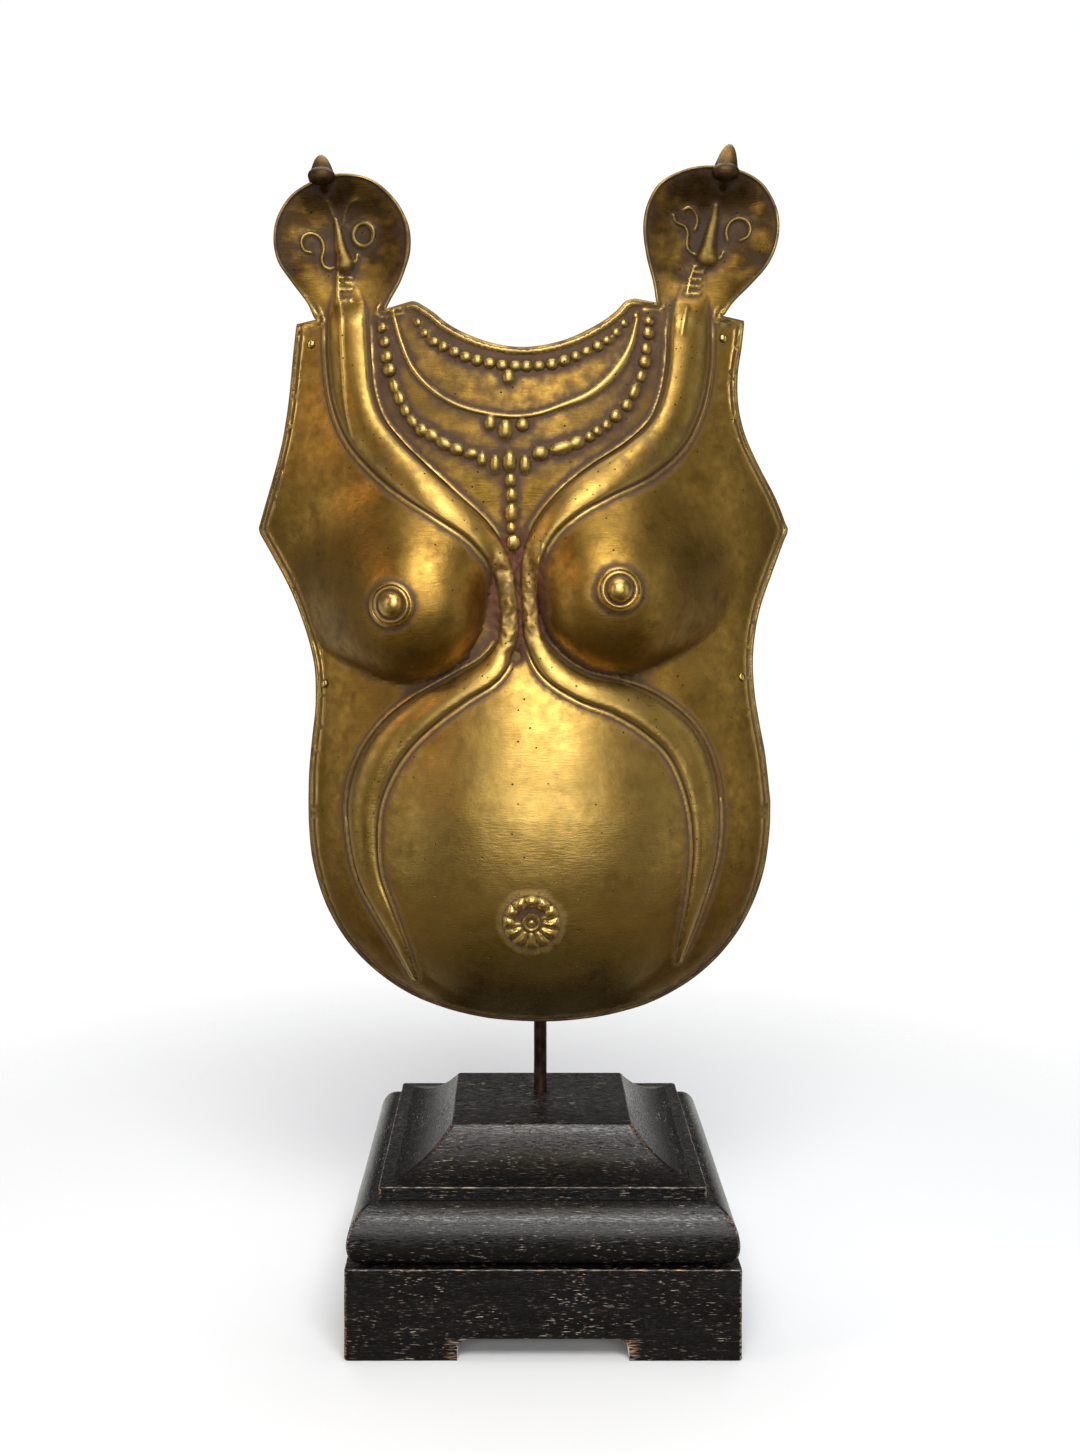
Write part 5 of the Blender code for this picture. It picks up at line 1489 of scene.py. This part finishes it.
finished("rod_and_crossbar", post, steel, "stand_post")
print("rod shows", round((RIM_BOTTOM - PEDESTAL_TOP) * 1000), "mm")

# %% [markdown]
# ## Pedestal
# Three mitred layers of hardwood: a plinth on four feet, a rounded moulding, and a top whose sides
# are hollowed in a cove. Each is a rectangle drawn up through rows of sizes, with rounded corners.
# Extra rows hug every edge, so that wear can be painted there, and a slow noise moves the surface
# by a few tenths of a millimetre, as handwork does.

# %% Layers
PLINTH_WIDTH = 0.2312
PLINTH_DEPTH = 0.212
PLINTH_HEIGHT = 0.053
MOULDING_HEIGHT = 0.0322
MOULDING_LEDGE = 0.0008
MOULDING_ROUND = 0.015
MOULDING_WIDEST = 0.36
MOULDING_TUCK = 0.008
TOP_INSET = 0.0181
TOP_FILLET_HEIGHT = 0.0074
COVE_HEIGHT = 0.0218
COVE_REACH = 0.0418
COVE_POWER = 2.4
GAP = 0.0003
CORNER = 0.0018
CORNER_SIGNS = ((1, -1), (1, 1), (-1, 1), (-1, -1))
SIDE_SPANS = 24
ROW_STEP = 0.006
WORN_EDGE = 0.0007


def softened(profile, radius):
    """A profile with each corner cut back in small steps, and one more row close beside them."""
    rows = [profile[0]]
    for before, here, after in zip(profile[:-2], profile[1:-1], profile[2:]):
        here, legs, lengths = np.array(here), [], []
        for other in (np.array(before), np.array(after)):
            lengths.append(np.hypot(*(other - here)))
            legs.append((other - here) / lengths[-1])
        if np.dot(*legs) < -0.93:
            rows.append(tuple(here))
            continue
        cut = [leg * min(radius, 0.40 * length) for leg, length in zip(legs, lengths)]
        beside = [leg * min(1.8 * radius, 0.48 * length) for leg, length in zip(legs, lengths)]
        rows.append(tuple(here + beside[0]))
        for t in (0.0, 0.33, 0.67, 1.0):
            rows.append(tuple(here + cut[0] * (1 - t) ** 2 + cut[1] * t**2))
        rows.append(tuple(here + beside[1]))
    rows.append(profile[-1])
    return rows


def filled(profile, step):
    """The same profile with rows added so that none are further apart than a step."""
    rows = [profile[0]]
    for start, end in zip(profile[:-1], profile[1:]):
        count = max(1, math.ceil(math.dist(start, end) / step))
        for k in range(1, count + 1):
            rows.append(tuple(np.array(start) + (np.array(end) - np.array(start)) * k / count))
    return rows


def rectangle(half_x, half_y):
    """Points round a rectangle with rounded corners, closer together near the corners."""
    arcs = []
    for quarter, (sx, sy) in enumerate(CORNER_SIGNS):
        centre = Vector((sx * (half_x - CORNER), sy * (half_y - CORNER)))
        turns = [math.radians(90.0 * quarter - 90.0 + 30.0 * k) for k in range(4)]
        arcs.append([centre + CORNER * Vector((math.cos(turn), math.sin(turn))) for turn in turns])
    loop = []
    for arc, after in zip(arcs, arcs[1:] + arcs[:1]):
        loop.extend(arc)
        for k in range(1, SIDE_SPANS):
            share = 0.5 - 0.5 * math.cos(math.pi * k / SIDE_SPANS)
            loop.append(arc[-1].lerp(after[0], share))
    return loop


def layer(name, profile, half_x, half_y):
    """A mitred layer: rows of (inset, height) drawn round a rectangle."""
    bm = bmesh.new()
    loops = []
    for inset, height in filled(softened(profile, WORN_EDGE), ROW_STEP):
        loops.append([bm.verts.new((ROD_OFFSET + p.x, p.y, height))
                      for p in rectangle(half_x - inset, half_y - inset)])
    for below, above in zip(loops[:-1], loops[1:]):
        for i in range(len(below)):
            j = (i + 1) % len(below)
            bm.faces.new((below[i], below[j], above[j], above[i]))
    bm.faces.new(loops[0][::-1])
    bm.faces.new(loops[-1])
    bmesh.ops.recalc_face_normals(bm, faces=bm.faces)
    return drawn_from(bm, name)


print("a softened square has", len(softened([(0, 0), (0, 1), (1, 1)], 0.1)), "rows")

# %% Grain and wear
WIDE_FACE = 0.0004
HAND_SHIFT = 0.00025


def grained(mesh):
    """Keeps the grain's direction at each face's corners, and wear at each edge of small faces."""
    bm = bmesh.new()
    bm.from_mesh(mesh)
    bm.normal_update()
    wear = np.zeros(len(bm.verts))
    for edge in bm.edges:
        if len(edge.link_faces) != 2:
            continue
        if max(face.calc_area() for face in edge.link_faces) > WIDE_FACE:
            continue
        bend = math.degrees(edge.calc_face_angle_signed(0.0))
        for vert in edge.verts:
            wear[vert.index] = max(wear[vert.index], bend)
    bm.free()
    kept(mesh, "worn", ramp(wear, 14.0, 24.0))
    values = np.empty((len(mesh.loops), 3), np.float32)
    for face in mesh.polygons:
        sideways = abs(face.normal.x) > abs(face.normal.y) and abs(face.normal.x) > 0.15
        for k in face.loop_indices:
            p = mesh.vertices[mesh.loops[k].vertex_index].co
            values[k] = (p.y + 0.5, p.x, p.z) if sideways else (p.x, p.y, p.z)
    mesh.attributes.new("grain", "FLOAT_VECTOR", "CORNER").data.foreach_set("vector", values.ravel())


def handmade(mesh, amount):
    """Moves the surface a little in and out, away from the rod's axis, by a slow noise."""
    for vert in mesh.vertices:
        p = vert.co
        shift = amount * noise.noise((p.x / 0.03, p.y / 0.03, p.z / 0.012))
        outward = Vector((p.x - ROD_OFFSET, p.y, 0.0))
        if outward.length > 0.01:
            vert.co = p + outward.normalized() * shift


base = PLINTH_HEIGHT + GAP
rows = []
for turn in np.linspace(0.0, 0.5 * math.pi, 9):
    tuck = MOULDING_TUCK * (1.0 - math.sin(turn))
    rows.append((tuck, base + MOULDING_HEIGHT * MOULDING_WIDEST * (1.0 - math.cos(turn))))
for turn in np.linspace(0.0, 0.5 * math.pi, 17)[1:]:
    share = MOULDING_WIDEST + (1.0 - MOULDING_WIDEST) * math.sin(turn)
    rows.append((MOULDING_ROUND * (1.0 - math.cos(turn)), base + MOULDING_HEIGHT * share))
moulding = layer("rounded_moulding", rows, 0.5 * PLINTH_WIDTH - MOULDING_LEDGE,
                 0.5 * PLINTH_DEPTH - MOULDING_LEDGE)
base = base + MOULDING_HEIGHT + GAP
rows = [(0.0, base)]
for share in np.linspace(0.0, 1.0, 21):
    rows.append((COVE_REACH * share, base + TOP_FILLET_HEIGHT + COVE_HEIGHT * share**COVE_POWER))
rows.append((COVE_REACH + 0.004, base + TOP_FILLET_HEIGHT + COVE_HEIGHT))
top = layer("coved_top", rows, 0.5 * PLINTH_WIDTH - TOP_INSET, 0.5 * PLINTH_DEPTH - TOP_INSET)
print("top stands at", round((base + TOP_FILLET_HEIGHT + COVE_HEIGHT) * 1000, 1), "mm")

# %% Socket in the top, arches under the plinth
FOOT_ARCH_WIDTH = 0.100
FOOT_ARCH_HEIGHT = 0.013
FOOT_ARCH_ROUND = 0.007
SOCKET_DEPTH = 0.018


def carved(mesh, cutters):
    """The mesh with each cutter's shape taken out of it."""
    body = bpy.data.objects.new("body", mesh)
    scene.collection.objects.link(body)
    tools = []
    for cutter in cutters:
        bmesh.ops.recalc_face_normals(cutter, faces=cutter.faces)
        tool = bpy.data.objects.new("cutter", drawn_from(cutter, "cutter"))
        scene.collection.objects.link(tool)
        cut = body.modifiers.new("cut", "BOOLEAN")
        cut.operation = "DIFFERENCE"
        cut.solver = "EXACT"
        cut.object = tool
        tools.append(tool)
    graph = bpy.context.evaluated_depsgraph_get()
    result = bpy.data.meshes.new_from_object(body.evaluated_get(graph))
    for helper in [*tools, body]:
        bpy.data.objects.remove(helper)
    return result


def arch(size):
    """A long bar with two rounded upper edges, which leaves an arch between two feet."""
    bm = bmesh.new()
    bmesh.ops.create_cube(bm, size=1.0)
    bmesh.ops.scale(bm, vec=(*size, 2 * FOOT_ARCH_HEIGHT), verts=bm.verts)
    long_axis = 1 if size[1] > size[0] else 0
    upper = [edge for edge in bm.edges
             if min(v.co.z for v in edge.verts) > 0.0
             and abs(edge.verts[0].co[long_axis] - edge.verts[1].co[long_axis]) > 0.1]
    bmesh.ops.bevel(bm, geom=upper, offset=FOOT_ARCH_ROUND, segments=8, affect="EDGES", profile=0.5)
    bmesh.ops.translate(bm, vec=(ROD_OFFSET, 0.0, 0.0), verts=bm.verts)
    return bm


plinth = layer("plinth_on_feet", [(0.0006, 0.0), (0.0, 0.0008), (0.0, PLINTH_HEIGHT),
                                  (0.004, PLINTH_HEIGHT)],
               0.5 * PLINTH_WIDTH, 0.5 * PLINTH_DEPTH)
plinth = carved(plinth, [arch((FOOT_ARCH_WIDTH, 0.3)), arch((0.3, FOOT_ARCH_WIDTH))])
hole = turned([(0.0, -SOCKET_DEPTH), (ROD_RADIUS + GAP, -SOCKET_DEPTH), (ROD_RADIUS + GAP, -0.0006),
               (ROD_RADIUS + GAP + 0.0006, 0.0002), (ROD_RADIUS + GAP + 0.0006, 0.01), (0.0, 0.01)],
              Vector((ROD_OFFSET, ROD_SETBACK, PEDESTAL_TOP)), (0, 0, 1), 32)
top = carved(top, [hole])
for name, mesh, node in (("plinth_on_feet", plinth, "pedestal_plinth"),
                         ("rounded_moulding", moulding, "pedestal_moulding"),
                         ("coved_top", top, "pedestal_top")):
    mesh.materials.clear()
    handmade(mesh, HAND_SHIFT)
    grained(mesh)
    mesh.shade_smooth()
    mesh.set_sharp_from_angle(angle=math.radians(50.0))
    finished(name, mesh, black_wood, node)
    print(name, len(mesh.polygons), "faces")

# %% [markdown]
# ## Sizes
# Both boxes, the imported model's and the dressed one's, are printed side by side, in millimetres.
# The dressed model has to stay the size of the imported one.

# %% Sizes
bpy.context.view_layer.update()
dressed_box = [list(corner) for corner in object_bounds()]
for before, after in zip(cad_box, dressed_box):
    print([round(value * 1000, 1) for value in before], [round(value * 1000, 1) for value in after])
